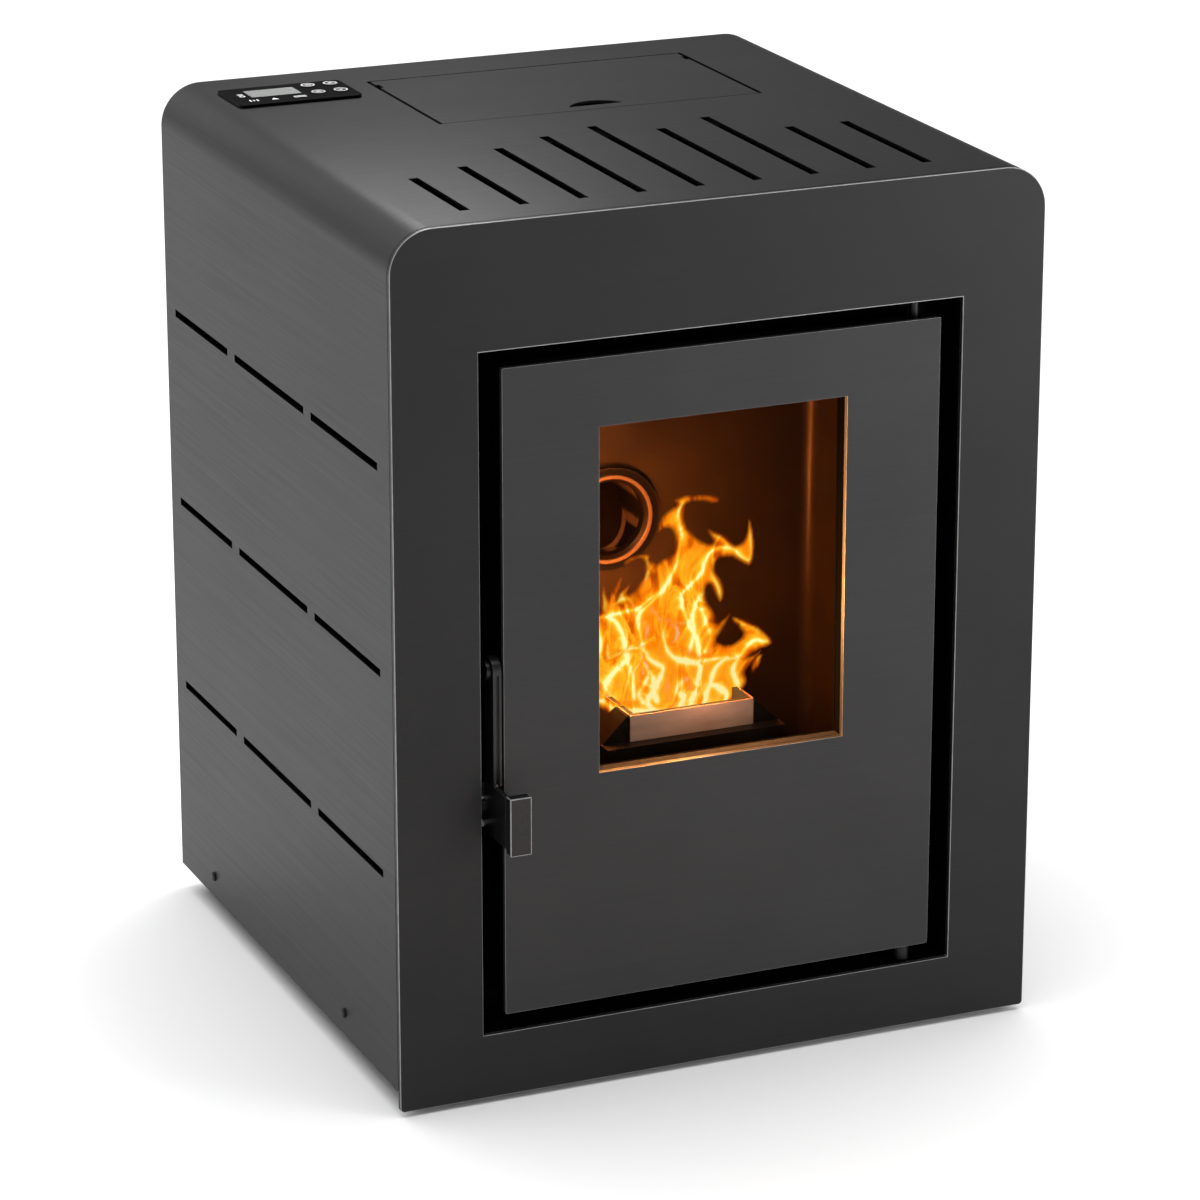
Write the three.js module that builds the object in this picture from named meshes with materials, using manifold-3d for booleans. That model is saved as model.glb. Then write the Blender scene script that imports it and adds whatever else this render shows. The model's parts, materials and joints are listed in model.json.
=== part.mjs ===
// A small free-standing pellet stove, as an assembly of named sub-parts.
// Millimetres, +Z up. Inside the group, x is measured from the middle of the body, y backwards
// from the front face of the front plate, and z from the floor. The group then moves the whole so
// that its origin is the middle of its footprint, on the floor, with the front facing -Y.

import * as THREE from "three";
import { mergeVertices } from "three/addons/utils/BufferGeometryUtils.js";
import Module from "manifold-3d";

const wasm = await Module();
wasm.setup();

// ---------------------------------------------------------------- driving dimensions

const seat = 0.3; // gap between pieces that rest on or pass through one another
const past = 1; // reach of a cut past the face it opens, or of a joined piece into its neighbour
const skin = 0.01; // overlap of two cuts that meet, so that no skin stays between them

// Body
const bodyWidth = 460;
const bodyDepth = 446; // front face of the front plate to the rear edge of the casing
const bodyHeight = 600; // floor to the top of the casing
const bendRadius = 29; // outside radius of the casing's upper bends
const casingSheet = 2;
const casingFloorGap = 18;
const frontPlateSheet = 4;
const frontPlateFloorGap = 4;
const frontPlateFootRadius = 3;

// Opening in the front plate, door and window
const openingWidth = 342;
const openingHeight = 467;
const openingBottom = 49;
const surroundWall = 4;
const doorSideGap = 16;
const doorTopGap = 12;
const doorBottomGap = 13;
const doorSheet = 4;
const windowWidth = 176;
const windowHeight = 236;
const windowBottom = 222;
const windowReveal = 12; // door face to glass
const glassThickness = 4;
const glassLap = 12; // how far the glass reaches past the window on each side
const retainerThickness = 3;
const retainerInset = 2; // retainer's hole beyond the window
const doorCornerRadius = 1;
const doorFrameDepth = 20; // door face to the back of the inner frame
const doorFrameInset = 3; // inner frame inside the door plate at the sides
const doorFrameEdge = 2; // inner frame inside the door plate above and below
const ropeWidth = 10;
const ropeCornerRadius = 12;

// Door hinge
const hingeFromDoorEdge = 14;
const hingeDepth = 12;
const hingePinRadius = 3;
const hingePinReach = 18; // length of each pin inside the door frame
const hingeCollarRadius = 5.5;

// Handle lever in the gap beside the door
const leverWidth = 5.6;
const leverDoorGap = 1.7;
const leverDepth = 18;
const leverPivotHeight = 301;
const leverPinRadius = 3;
const leverPinHeadRadius = 6.5;
const leverPinHead = 3;
const leverPinReach = 10;
const leverBarBottom = 223;
const leverGroove = 2.8;
const leverGrooveDepth = 2;
const leverGrooveEnd = 2; // below the pivot
const leverShoulder = 1; // chamfer where the bar meets the arm
const armThickness = 3;
const armBottom = 187;
const gripWidth = 15;
const gripHeight = 40;
const gripThickness = 8;
const gripBottom = 184;
const gripStandOff = 20; // door face to the back of the grip
const noseBottom = 195;
const noseHeight = 12;
const noseDepth = 6;
const keeperClearance = 1.5;
const keeperSheet = 2;
const keeperWidth = 9;
const keeperEnd = 8; // base beyond the prongs
const keeperTip = 0.5; // lever's back to the tips of the prongs

// Firebox
const fireboxSheet = 3;
const fireboxHalfWidth = 155; // inside
const fireboxBack = 191; // inside face of the back wall
const fireboxBottom = 75; // inside
const fireboxTop = 490; // inside
const fireboxCorner = 10; // inside radius of the two rear corners
const flangeFront = 30; // face that the door seals on
const flangeEdge = 7; // flange beyond the opening of the front plate
const mouthHalfWidth = 122;
const mouthBottom = 78;
const mouthTop = 474;
const baffleBottom = 462;
const baffleThickness = 4;
const baffleFrontGap = 29;
const standHalfWidth = 130;
const standFront = 60;
const standSheet = 2;

// Burn pot, its holder and the ash pan
const holderHalfWidth = 65;
const holderFront = 39.5;
const holderTop = 220.5;
const holderHeight = 60;
const holderSheet = 2.5;
const ridgeHeight = 18;
const ridgeStep = 0.5; // ledge of the holder's top on either side of the ridge
const ridgeFront = 50;
const ridgeInset = 18; // how far the sloped sides draw in towards the pot
const ridgeBack = 145;
const potHalfWidth = 45;
const potFront = 48;
const potBack = 130;
const potTop = 239;
const potBottom = 168;
const potWall = 4;
const potCollarLap = 5; // collar beyond the lower part on each side
const potHoleGap = 0.5;
const potAirHole = 3;
const potAirHolePitch = 20;
const ashPanHalfWidth = 117;
const ashPanFront = 40;
const ashPanBack = 186;
const ashPanHeight = 75;
const ashPanSheet = 1.5;

// Combustion air, igniter and pellet chute
const airHeight = 190;
const airPipeRadius = 18;
const airPipeWall = 2;
const airPipeEnd = 24; // reach behind the body
const airPipeInside = 4; // reach into the firebox
const igniterRadius = 5;
const igniterOffset = -32;
const igniterTip = 134;
const igniterTail = 236;
const igniterFlangeRadius = 9;
const igniterFlange = 6;
const chuteHeight = 329.5;
const chuteBore = 26.5;
const chuteWall = 2;
const chuteRingRadius = 37;
const chuteRingBevel = 3; // round the mouth
const chuteRingThickness = 4;
const chuteHalfWidth = 30;
const chuteBack = 251;
const chuteTop = 372;
const chuteFloor = 299;
const chuteToe = 18; // level part of its floor
const chuteRise = 42; // height that the sloped part of its floor climbs

// Auger
const augerHeight = 385;
const augerTubeRadius = 26;
const augerTubeWall = 2;
const augerTubeFront = 214;
const augerTubeBack = 400;
const augerFlange = 64;
const augerFlangeThickness = 4;
const dischargeMargin = 3; // discharge slot to the end of the tube and to the chute's wall
const screwRadius = 23;
const screwPitch = 38;
const screwFlight = 2.5;
const screwShaft = 6;
const screwJournal = 4;
const screwShaftReach = 10; // into the gearbox
const shaftEndGap = 2; // between the end of a shaft and the bottom of its bore
const gearboxWidth = 62;
const gearboxLength = 22;
const augerMotorRadius = 27;
const augerMotorLength = 18;

// Hopper and lid
const hopperSheet = 1.5;
const hopperPastLeft = 11.95; // hopper beyond the left edge of the lid opening
const hopperPastRight = 25.55;
const hopperFront = 232;
const hopperBack = 438;
const hopperShoulder = 480; // where the walls start to slope in
const hopperThroat = 415;
const hopperTopSheet = 2;
const hopperFlangeFront = 188;
const outletHalfWidth = 20;
const outletFront = 290;
const outletBack = 370;
const lidFromPanel = 19; // right edge of the control panel to the lid opening
const lidOpeningWidth = 240.5;
const lidOpeningFront = 260;
const lidOpeningBack = 400.6;
const lidSideGap = 2.75;
const lidFrontGap = 0.8;
const lidBackGap = 1.5;
const lidSheet = 2;
const lidHingeFromBack = 16;
const lidHingeDepth = 5.3; // below the top of the lid
const lidPinRadius = 1.5;
const lidNotch = 2.5;
const lidTabLength = 10;
const lidTabInset = 6;
const lidTabSheet = 2;
const lidTabMargin = 2; // tab below its pin
const lidRestLap = 5.2; // how far the lid reaches over the front edge of the hopper's mouth
const mouthMargin = 4; // hopper's mouth beyond the lid opening at the sides and back
const lidBracketSheet = 3;
const lidBracketLength = 15;
const lidBracketHeight = 9.7;
const fingerHoleWidth = 40;
const fingerHoleDepth = 13;
const fingerHoleFromFront = 11.2;
const guardBelowTop = 44; // top of the casing to the underside of the guard
const guardThickness = 5;
const guardBar = 3;
const guardCells = 6;

// Air slots
const topSlotWidth = 7;
const topSlotFirst = -165.5;
const topSlotPitch = 40.7;
const topSlotFront = 34;
const topSlotBacks = [125, 142, 180, 199, 214, 190, 209, 161, 160];
const sideSlotHeight = 5.4;
const sideSlotHighest = 443.7; // upper edge of the highest row
const sideSlotPitch = 138.7;
const sideSlotRows = 3;
const sideSlotRuns = [
  [26, 149],
  [163, 300],
  [315, 426],
];

// Control panel
const panelFromSide = 27.45; // left side of the casing to the panel's edge
const panelMiddleY = 380.2;
const panelWidth = 89.5;
const panelDepth = 51;
const panelRise = 2;
const panelRim = 3.5;
const panelBodyDepth = 12;
const panelCornerRadius = 4;
const displayWidth = 36.1;
const displayDepth = 20;
const displayFromLeft = 15.95; // left edge of the panel to the display
const displayFromFront = 21.3; // front edge of the panel to the display
const displayThickness = 1;
const keyRadius = 5.5;
const keyFromRight = 9.45; // right edge of the panel to the middle of its last keys
const keyColumnPitch = 16.5;
const keyFromBack = 10.1; // rear edge of the panel to the middle of its rear keys
const keyRowPitch = 21.8;
const keyRise = 0.5;
const keyHeight = 2.8;
const keyPocket = 1.3; // free depth below a key

// Base, feet, side screws and rear panel
const panSheet = 2;
const panFlange = 28;
const footRadius = 19;
const footBevel = 2;
const footRim = 6;
const footTaper = 5;
const footInsetX = 40;
const footInsetY = 45;
const screwHeight = 34;
const screwPlaces = [105, 373];
const screwHeadRadius = 3.5;
const screwHeadHeight = 2;
const screwShankRadius = 2;
const screwShankLength = 6;
const rearPanelSheet = 1.5;
const rearPanelInset = 1.5;
const rearGrilleWidth = 58;
const rearGrilleBottom = 42;
const rearGrillePitch = 10;
const rearGrilleCount = 4;
const rearGrilleSlot = 5;

// Smoke side
const ductLeft = 80;
const ductRight = 160;
const ductDepth = 32;
const ductBottom = 45;
const ductSheet = 2;
const ductLegBack = 345;
const ductLegTop = 130;
const flueExitLeft = 88;
const flueExitRight = 140;
const flueExitHeight = 17;
const flueExitDrop = 2; // below the top of the firebox
const smokeFanRadius = 62;
const smokeFanLeft = 72;
const smokeFanWidth = 60;
const smokeFanY = 300;
const smokeFanOutletBack = 400;
const smokeFanSheet = 2;
const smokeFanInlet = 22;
const smokeMotorRadius = 32;
const smokeMotorLength = 50;
const impellerRadius = 52;
const impellerGap = 6;
const fanShaftRadius = 4;
const fanShaftReach = 14; // into the motor
const impellerBlades = 8;
const spigotRadius = 40;
const spigotWall = 2;
const spigotReach = 44; // behind the body
const spigotFlange = 90;
const spigotFlangeThickness = 3;

// Room air blower
const blowerRadius = 55;
const blowerFromSide = 35; // left side of the casing to the housing
const blowerWidth = 70;
const blowerY = 330;
const blowerOutletTop = 150;
const blowerSheet = 1.5;
const blowerInlet = 32;
const blowerMotorRadius = 30;
const blowerMotorLength = 52;
const blowerWheelRadius = 46;
const blowerBlades = 10;
const bladeSheet = 2;
const bladeInset = 1; // blade tips inside the rim of the disc

// Electrical pieces
const boardWidth = 42;
const boardFront = 300;
const boardBack = 420;
const boardHeight = 90;
const boardBelowTop = 26; // top of the casing to the board
const inletFromSide = 60; // left side of the casing to the middle of the inlet
const inletBottom = 190;
const inletWidth = 30;
const inletHeight = 56;
const inletRim = 3;
const inletBodyDepth = 24;
const inletFlange = 2.2;
const socketWidth = 22;
const socketHeight = 15;
const socketDepth = 16;
const socketRise = 4; // bottom of the inlet to the bottom of the socket
const contactPitch = 6;
const contactWidth = 2.5;
const contactHeight = 4;
const contactLength = 12;
const rockerWidth = 20;
const rockerHeight = 13;
const rockerDepth = 9;
const rockerDrop = 6; // top of the inlet to the rocker
const rockerProud = 2;
const rockerTilt = 8; // degrees, either side of level
const resetHeight = 290;
const resetBodyRadius = 12;
const resetBodyLength = 18;
const resetNeckRadius = 7;
const resetButtonRadius = 3;
const resetButtonLength = 15;
const resetProud = 3;
const resetButtonProud = 2.5;

// ---------------------------------------------------------------- places worked out from them

const bodyHalf = bodyWidth / 2;
const innerHalf = bodyHalf - casingSheet;
const innerTop = bodyHeight - casingSheet;
const casingFront = frontPlateSheet + seat;
const openingHalf = openingWidth / 2;
const openingTop = openingBottom + openingHeight;
const doorHalf = openingHalf - doorSideGap;
const doorBottom = openingBottom + doorBottomGap;
const doorTop = openingTop - doorTopGap;
const windowHalf = windowWidth / 2;
const windowTop = windowBottom + windowHeight;
const frameFront = doorSheet + seat;
const frameHalf = doorHalf - doorFrameInset;
const frameBottom = doorBottom + doorFrameEdge;
const frameTop = doorTop - doorFrameEdge;
const glassFront = windowReveal + seat;
const glassBack = glassFront + glassThickness;
const hingeX = doorHalf - hingeFromDoorEdge;
const panTop = casingFloorGap + panSheet;
const rearPanelBack = bodyDepth - rearPanelInset;
const rearPanelFront = rearPanelBack - rearPanelSheet;
const fireboxRear = fireboxBack + fireboxSheet;
const boxUnderside = fireboxBottom - fireboxSheet;
const leverRight = -doorHalf - leverDoorGap;
const leverLeft = leverRight - leverWidth;
const leverPivotY = leverDepth / 2;
const gripFront = -gripStandOff - gripThickness;
const panelLeft = -bodyHalf + panelFromSide;
const lidOpeningMiddle = panelLeft + panelWidth + lidFromPanel + lidOpeningWidth / 2;
const lidLeft = lidOpeningMiddle - lidOpeningWidth / 2 + lidSideGap;
const lidRight = lidOpeningMiddle + lidOpeningWidth / 2 - lidSideGap;
const lidFront = lidOpeningFront + lidFrontGap;
const lidBack = lidOpeningBack - lidBackGap;
const lidHingeY = lidBack - lidHingeFromBack;
const lidHingeZ = bodyHeight - lidHingeDepth;
const fillLeft = lidOpeningMiddle - lidOpeningWidth / 2 - mouthMargin;
const fillRight = lidOpeningMiddle + lidOpeningWidth / 2 + mouthMargin;
const fillFront = lidFront + lidRestLap;
const fillBack = lidOpeningBack + mouthMargin;
const hopperTop = innerTop - seat;
const hopperLeft = lidOpeningMiddle - lidOpeningWidth / 2 - hopperPastLeft;
const hopperRight = lidOpeningMiddle + lidOpeningWidth / 2 + hopperPastRight;
const guardHeight = bodyHeight - guardBelowTop;
const flueExitBottom = fireboxTop - flueExitDrop - flueExitHeight;
const smokeFanZ = panTop + seat + smokeFanRadius;
const spigotX = smokeFanLeft + smokeFanWidth / 2;
const spigotZ = smokeFanZ + smokeFanRadius / 2;
const spigotEnd = bodyDepth + spigotReach;
const blowerZ = panTop + seat + blowerRadius;
const inletMiddleX = -bodyHalf + inletFromSide;
const inletTop = inletBottom + inletHeight;
const inletBack = rearPanelBack + seat + inletFlange;
const panelTop = bodyHeight + seat + panelRise;
const panelMiddleX = panelLeft + panelWidth / 2;
const displayLeft = panelLeft + displayFromLeft;
const displayRight = displayLeft + displayWidth;
const displayFront = panelMiddleY - panelDepth / 2 + displayFromFront;
const displayBack = displayFront + displayDepth;
const keyRight = panelLeft + panelWidth - keyFromRight;
const keyRear = panelMiddleY + panelDepth / 2 - keyFromBack;
const keyColumns = [keyRight - keyColumnPitch, keyRight];
const keyRows = [keyRear - keyRowPitch, keyRear];
const boardTop = bodyHeight - boardBelowTop;
const boardBottom = boardTop - boardHeight;
const blowerLeft = -bodyHalf + blowerFromSide;
const rearGrilleMiddle = blowerLeft + blowerWidth / 2;

// ---------------------------------------------------------------- solids

// A closed three.js geometry as a solid that can be joined and cut.
function solid(geometry) {
  const bare = geometry.clone();
  bare.deleteAttribute("normal");
  bare.deleteAttribute("uv");
  const merged = mergeVertices(bare, 1e-4);
  const mesh = new wasm.Mesh({
    numProp: 3,
    vertProperties: new Float32Array(merged.attributes.position.array),
    triVerts: new Uint32Array(merged.index.array),
  });
  return new wasm.Manifold(mesh);
}

function geometryOf(made) {
  const mesh = made.getMesh();
  const geometry = new THREE.BufferGeometry();
  geometry.setAttribute("position", new THREE.BufferAttribute(mesh.vertProperties, 3));
  geometry.setIndex(new THREE.BufferAttribute(mesh.triVerts, 1));
  geometry.computeVertexNormals();
  return geometry;
}

const join = (first, ...others) => others.reduce((sum, other) => sum.add(other), first);
const cut = (first, ...others) => others.reduce((rest, other) => rest.subtract(other), first);

function box(x0, x1, y0, y1, z0, z1) {
  const geometry = new THREE.BoxGeometry(x1 - x0, y1 - y0, z1 - z0);
  geometry.translate((x0 + x1) / 2, (y0 + y1) / 2, (z0 + z1) / 2);
  return solid(geometry);
}

function cylinder(radius, length, sides) {
  return new THREE.CylinderGeometry(radius, radius, length, sides);
}

function rodX(radius, x0, x1, y, z, sides = 16) {
  const geometry = cylinder(radius, x1 - x0, sides);
  geometry.rotateZ(Math.PI / 2);
  geometry.translate((x0 + x1) / 2, y, z);
  return solid(geometry);
}

function rodY(radius, x, y0, y1, z, sides = 16) {
  const geometry = cylinder(radius, y1 - y0, sides);
  geometry.translate(x, (y0 + y1) / 2, z);
  return solid(geometry);
}

// A cone along Y from the first radius at y0 to the second at y1.
function coneY(radius0, radius1, x, y0, y1, z, sides) {
  const geometry = new THREE.CylinderGeometry(radius1, radius0, y1 - y0, sides);
  geometry.translate(x, (y0 + y1) / 2, z);
  return solid(geometry);
}

function rodZ(radius, x, y, z0, z1, sides = 16) {
  const geometry = cylinder(radius, z1 - z0, sides);
  geometry.rotateX(Math.PI / 2);
  geometry.translate(x, y, (z0 + z1) / 2);
  return solid(geometry);
}

function extruded(shape, depth, curveSegments) {
  return new THREE.ExtrudeGeometry(shape, { depth, bevelEnabled: false, curveSegments });
}

// A flat outline in x and z, as a plate from y0 to y1.
function plateXZ(shape, y0, y1, curveSegments = 8) {
  const geometry = extruded(shape, y1 - y0, curveSegments);
  geometry.rotateX(Math.PI / 2);
  geometry.translate(0, y1, 0);
  return solid(geometry);
}

// A flat outline in x and y, as a plate from z0 to z1.
function plateXY(shape, z0, z1, curveSegments = 6) {
  const geometry = extruded(shape, z1 - z0, curveSegments);
  geometry.translate(0, 0, z0);
  return solid(geometry);
}

// A flat outline in y and z, as a plate from x0 to x1.
function plateYZ(shape, x0, x1, curveSegments = 8) {
  const geometry = extruded(shape, x1 - x0, curveSegments);
  const turn = new THREE.Matrix4().makeBasis(
    new THREE.Vector3(0, 1, 0),
    new THREE.Vector3(0, 0, 1),
    new THREE.Vector3(1, 0, 0),
  );
  geometry.applyMatrix4(turn);
  geometry.translate(x0, 0, 0);
  return solid(geometry);
}

function polygon(points) {
  return new THREE.Shape(points.map(([a, b]) => new THREE.Vector2(a, b)));
}

// A rectangle with one radius for its upper corners and one for its lower ones.
function roundedRect(x0, x1, z0, z1, upper, lower = upper) {
  const shape = new THREE.Shape();
  shape.moveTo(x0 + lower, z0);
  shape.lineTo(x1 - lower, z0);
  shape.absarc(x1 - lower, z0 + lower, lower, -Math.PI / 2, 0, false);
  shape.lineTo(x1, z1 - upper);
  shape.absarc(x1 - upper, z1 - upper, upper, 0, Math.PI / 2, false);
  shape.lineTo(x0 + upper, z1);
  shape.absarc(x0 + upper, z1 - upper, upper, Math.PI / 2, Math.PI, false);
  shape.lineTo(x0, z0 + lower);
  shape.absarc(x0 + lower, z0 + lower, lower, Math.PI, 1.5 * Math.PI, false);
  return shape;
}

// A straight-sided funnel between two level rectangles, each [x0, x1, y0, y1, z].
function funnel(low, high) {
  const corners = ([x0, x1, y0, y1, z]) => [x0, y0, z, x1, y0, z, x1, y1, z, x0, y1, z];
  const geometry = new THREE.BufferGeometry();
  const position = new Float32Array([...corners(low), ...corners(high)]);
  geometry.setAttribute("position", new THREE.BufferAttribute(position, 3));
  const faces = [0, 2, 1, 0, 3, 2, 4, 5, 6, 4, 6, 7];
  for (let side = 0; side < 4; side += 1) {
    const next = (side + 1) % 4;
    faces.push(side, next, next + 4, side, next + 4, side + 4);
  }
  geometry.setIndex(faces);
  return solid(geometry);
}

// A body of revolution about an axis along +Z, from [radius, z] points.
function turned(profile, x, y, segments = 12) {
  const points = profile.map(([radius, z]) => new THREE.Vector2(radius, z));
  const geometry = new THREE.LatheGeometry(points, segments);
  geometry.rotateX(Math.PI / 2);
  geometry.translate(x, y, 0);
  return solid(geometry);
}

// ---------------------------------------------------------------- body shell

function makeFrontPlate() {
  const outline = roundedRect(
    -bodyHalf, bodyHalf, frontPlateFloorGap, bodyHeight, bendRadius, frontPlateFootRadius,
  );
  const opening = box(-openingHalf, openingHalf, -past, frontPlateSheet + past, openingBottom, openingTop);
  return cut(plateXZ(outline, 0, frontPlateSheet), opening);
}

function casingOutline() {
  const shape = new THREE.Shape();
  const bendX = bodyHalf - bendRadius;
  const bendZ = bodyHeight - bendRadius;
  const inside = bendRadius - casingSheet;
  shape.moveTo(-bodyHalf, casingFloorGap);
  shape.lineTo(-bodyHalf, bendZ);
  shape.absarc(-bendX, bendZ, bendRadius, Math.PI, Math.PI / 2, true);
  shape.lineTo(bendX, bodyHeight);
  shape.absarc(bendX, bendZ, bendRadius, Math.PI / 2, 0, true);
  shape.lineTo(bodyHalf, casingFloorGap);
  shape.lineTo(innerHalf, casingFloorGap);
  shape.lineTo(innerHalf, bendZ);
  shape.absarc(bendX, bendZ, inside, 0, Math.PI / 2, false);
  shape.lineTo(-bendX, innerTop);
  shape.absarc(-bendX, bendZ, inside, Math.PI / 2, Math.PI, false);
  shape.lineTo(-innerHalf, casingFloorGap);
  return shape;
}

function makeCasing() {
  const cuts = [];
  const low = innerTop - past;
  const high = bodyHeight + past;
  topSlotBacks.forEach((back, index) => {
    const x = topSlotFirst + index * topSlotPitch;
    cuts.push(box(x - topSlotWidth / 2, x + topSlotWidth / 2, topSlotFront, back, low, high));
  });
  for (let row = 0; row < sideSlotRows; row += 1) {
    const z = sideSlotHighest - row * sideSlotPitch;
    for (const [y0, y1] of sideSlotRuns) {
      cuts.push(box(-bodyHalf - past, bodyHalf + past, y0, y1, z - sideSlotHeight, z));
    }
  }
  for (const y of screwPlaces) {
    cuts.push(rodX(screwShankRadius + seat, -bodyHalf - past, bodyHalf + past, y, screwHeight, 8));
  }
  const half = lidOpeningWidth / 2;
  cuts.push(box(
    lidOpeningMiddle - half, lidOpeningMiddle + half, lidOpeningFront, lidOpeningBack, low, high,
  ));
  const panelX = panelWidth / 2 - panelRim + seat;
  const panelY = panelDepth / 2 - panelRim + seat;
  cuts.push(box(
    panelMiddleX - panelX, panelMiddleX + panelX,
    panelMiddleY - panelY, panelMiddleY + panelY, low, high,
  ));
  return cut(plateXZ(casingOutline(), casingFront, bodyDepth), ...cuts);
}

function makeSurround() {
  const outer = box(
    -openingHalf - surroundWall, openingHalf + surroundWall, casingFront, flangeFront - seat,
    openingBottom - surroundWall, openingTop + surroundWall,
  );
  const inner = box(-openingHalf, openingHalf, 0, flangeFront + past, openingBottom, openingTop);
  const reach = surroundWall + past;
  const pinHole = hingePinRadius + seat;
  return cut(
    outer, inner,
    rodZ(pinHole, hingeX, hingeDepth, openingTop - past, openingTop + reach),
    rodZ(pinHole, hingeX, hingeDepth, openingBottom - reach, openingBottom + past),
  );
}

function makeBasePan() {
  const half = innerHalf - seat;
  const front = casingFront;
  const back = rearPanelFront - seat;
  const outer = box(-half, half, front, back, casingFloorGap, casingFloorGap + panFlange);
  const inner = box(
    -half + panSheet, half - panSheet, front - past, back - panSheet,
    panTop, casingFloorGap + panFlange + past,
  );
  const holes = screwPlaces.map((y) => (
    rodX(screwShankRadius + seat, -bodyHalf, bodyHalf, y, screwHeight, 8)
  ));
  return cut(outer, inner, ...holes);
}

function makeFoot(x, y) {
  const top = casingFloorGap - seat;
  return turned(
    [
      [0, 0],
      [footRadius - footBevel, 0],
      [footRadius, footBevel],
      [footRadius, footRim],
      [footRadius - footTaper, top],
      [0, top],
    ],
    x, y,
  );
}

// A button-head screw in a side of the casing; side is -1 on the left and 1 on the right.
function makeSideScrew(side, y) {
  const profile = [
    [0, -screwShankLength],
    [screwShankRadius, -screwShankLength],
    [screwShankRadius, 0],
    [screwHeadRadius, 0],
    [screwHeadRadius, 0.4 * screwHeadHeight],
    [0.7 * screwHeadRadius, 0.9 * screwHeadHeight],
    [0, screwHeadHeight],
  ].map(([radius, along]) => new THREE.Vector2(radius, along));
  const geometry = new THREE.LatheGeometry(profile, 10);
  geometry.rotateZ((-side * Math.PI) / 2);
  geometry.translate(side * (bodyHalf + seat), y, screwHeight);
  return solid(geometry);
}

function makeRearPanel() {
  const half = innerHalf - seat;
  const outline = roundedRect(
    -half, half, casingFloorGap, innerTop - seat, bendRadius - casingSheet - seat, 1,
  );
  const front = rearPanelFront - past;
  const back = rearPanelBack + past;
  const bodyX = inletWidth / 2 + seat;
  const cuts = [
    rodY(spigotRadius + seat, spigotX, front, back, spigotZ, 32),
    rodY(airPipeRadius + seat, 0, front, back, airHeight, 20),
    rodY(resetNeckRadius + seat, inletMiddleX, front, back, resetHeight, 12),
    box(inletMiddleX - bodyX, inletMiddleX + bodyX, front, back, inletBottom - seat, inletTop + seat),
  ];
  for (let index = 0; index < rearGrilleCount; index += 1) {
    const z = rearGrilleBottom + index * rearGrillePitch;
    const x = rearGrilleWidth / 2;
    cuts.push(box(rearGrilleMiddle - x, rearGrilleMiddle + x, front, back, z, z + rearGrilleSlot));
  }
  return cut(plateXZ(outline, rearPanelFront, rearPanelBack), ...cuts);
}

// ---------------------------------------------------------------- door

function makeDoorPlate() {
  const outline = roundedRect(-doorHalf, doorHalf, doorBottom, doorTop, doorCornerRadius);
  const opening = box(-windowHalf, windowHalf, -past, doorSheet + past, windowBottom, windowTop);
  return cut(plateXZ(outline, 0, doorSheet, 2), opening);
}

function makeDoorFrame() {
  const outer = box(-frameHalf, frameHalf, frameFront, doorFrameDepth, frameBottom, frameTop);
  const reveal = box(-windowHalf, windowHalf, 0, doorFrameDepth + past, windowBottom, windowTop);
  const lap = glassLap + seat;
  const pocket = box(
    -windowHalf - lap, windowHalf + lap, windowReveal, doorFrameDepth + past,
    windowBottom - lap, windowTop + lap,
  );
  const pinHole = hingePinRadius + seat;
  return cut(
    outer, reveal, pocket,
    rodZ(pinHole, hingeX, hingeDepth, frameTop - hingePinReach - seat, frameTop + past),
    rodZ(pinHole, hingeX, hingeDepth, frameBottom - past, frameBottom + hingePinReach + seat),
    rodX(
      leverPinRadius + seat, -frameHalf - past, -frameHalf + leverPinReach + seat,
      leverPivotY, leverPivotHeight,
    ),
  );
}

function makeGlass() {
  return box(
    -windowHalf - glassLap, windowHalf + glassLap, glassFront, glassBack,
    windowBottom - glassLap, windowTop + glassLap,
  );
}

function makeRetainer() {
  const front = glassBack + seat;
  const outer = box(
    -windowHalf - glassLap, windowHalf + glassLap, front, front + retainerThickness,
    windowBottom - glassLap, windowTop + glassLap,
  );
  const hole = box(
    -windowHalf - retainerInset, windowHalf + retainerInset,
    front - past, front + retainerThickness + past,
    windowBottom - retainerInset, windowTop + retainerInset,
  );
  return cut(outer, hole);
}

function makeRope() {
  const clear = 3; // firebox mouth to the inside of the rope
  const inside = mouthHalfWidth + clear;
  const inner = roundedRect(
    -inside, inside, mouthBottom - clear, mouthTop + clear, ropeCornerRadius - ropeWidth,
  );
  const outside = inside + ropeWidth;
  const outer = roundedRect(
    -outside, outside, mouthBottom - clear - ropeWidth, mouthTop + clear + ropeWidth,
    ropeCornerRadius,
  );
  const y0 = doorFrameDepth + seat;
  const y1 = flangeFront - seat;
  return cut(plateXZ(outer, y0, y1, 4), plateXZ(inner, y0 - 1, y1 + 1, 4));
}

function makeUpperHingePin() {
  return rodZ(
    hingePinRadius, hingeX, hingeDepth, frameTop - hingePinReach, openingTop + surroundWall - seat,
  );
}

function makeLowerHingePin() {
  const pin = rodZ(
    hingePinRadius, hingeX, hingeDepth,
    openingBottom - surroundWall + seat, frameBottom + hingePinReach,
  );
  const collar = rodZ(
    hingeCollarRadius, hingeX, hingeDepth, openingBottom + seat, frameBottom - seat,
  );
  return join(pin, collar);
}

function makeLeverPin() {
  const shaft = rodX(
    leverPinRadius, leverLeft - seat - leverPinHead / 2, -frameHalf + leverPinReach,
    leverPivotY, leverPivotHeight,
  );
  const head = rodX(
    leverPinHeadRadius, leverLeft - seat - leverPinHead, leverLeft - seat,
    leverPivotY, leverPivotHeight, 20,
  );
  return join(shaft, head);
}

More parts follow.
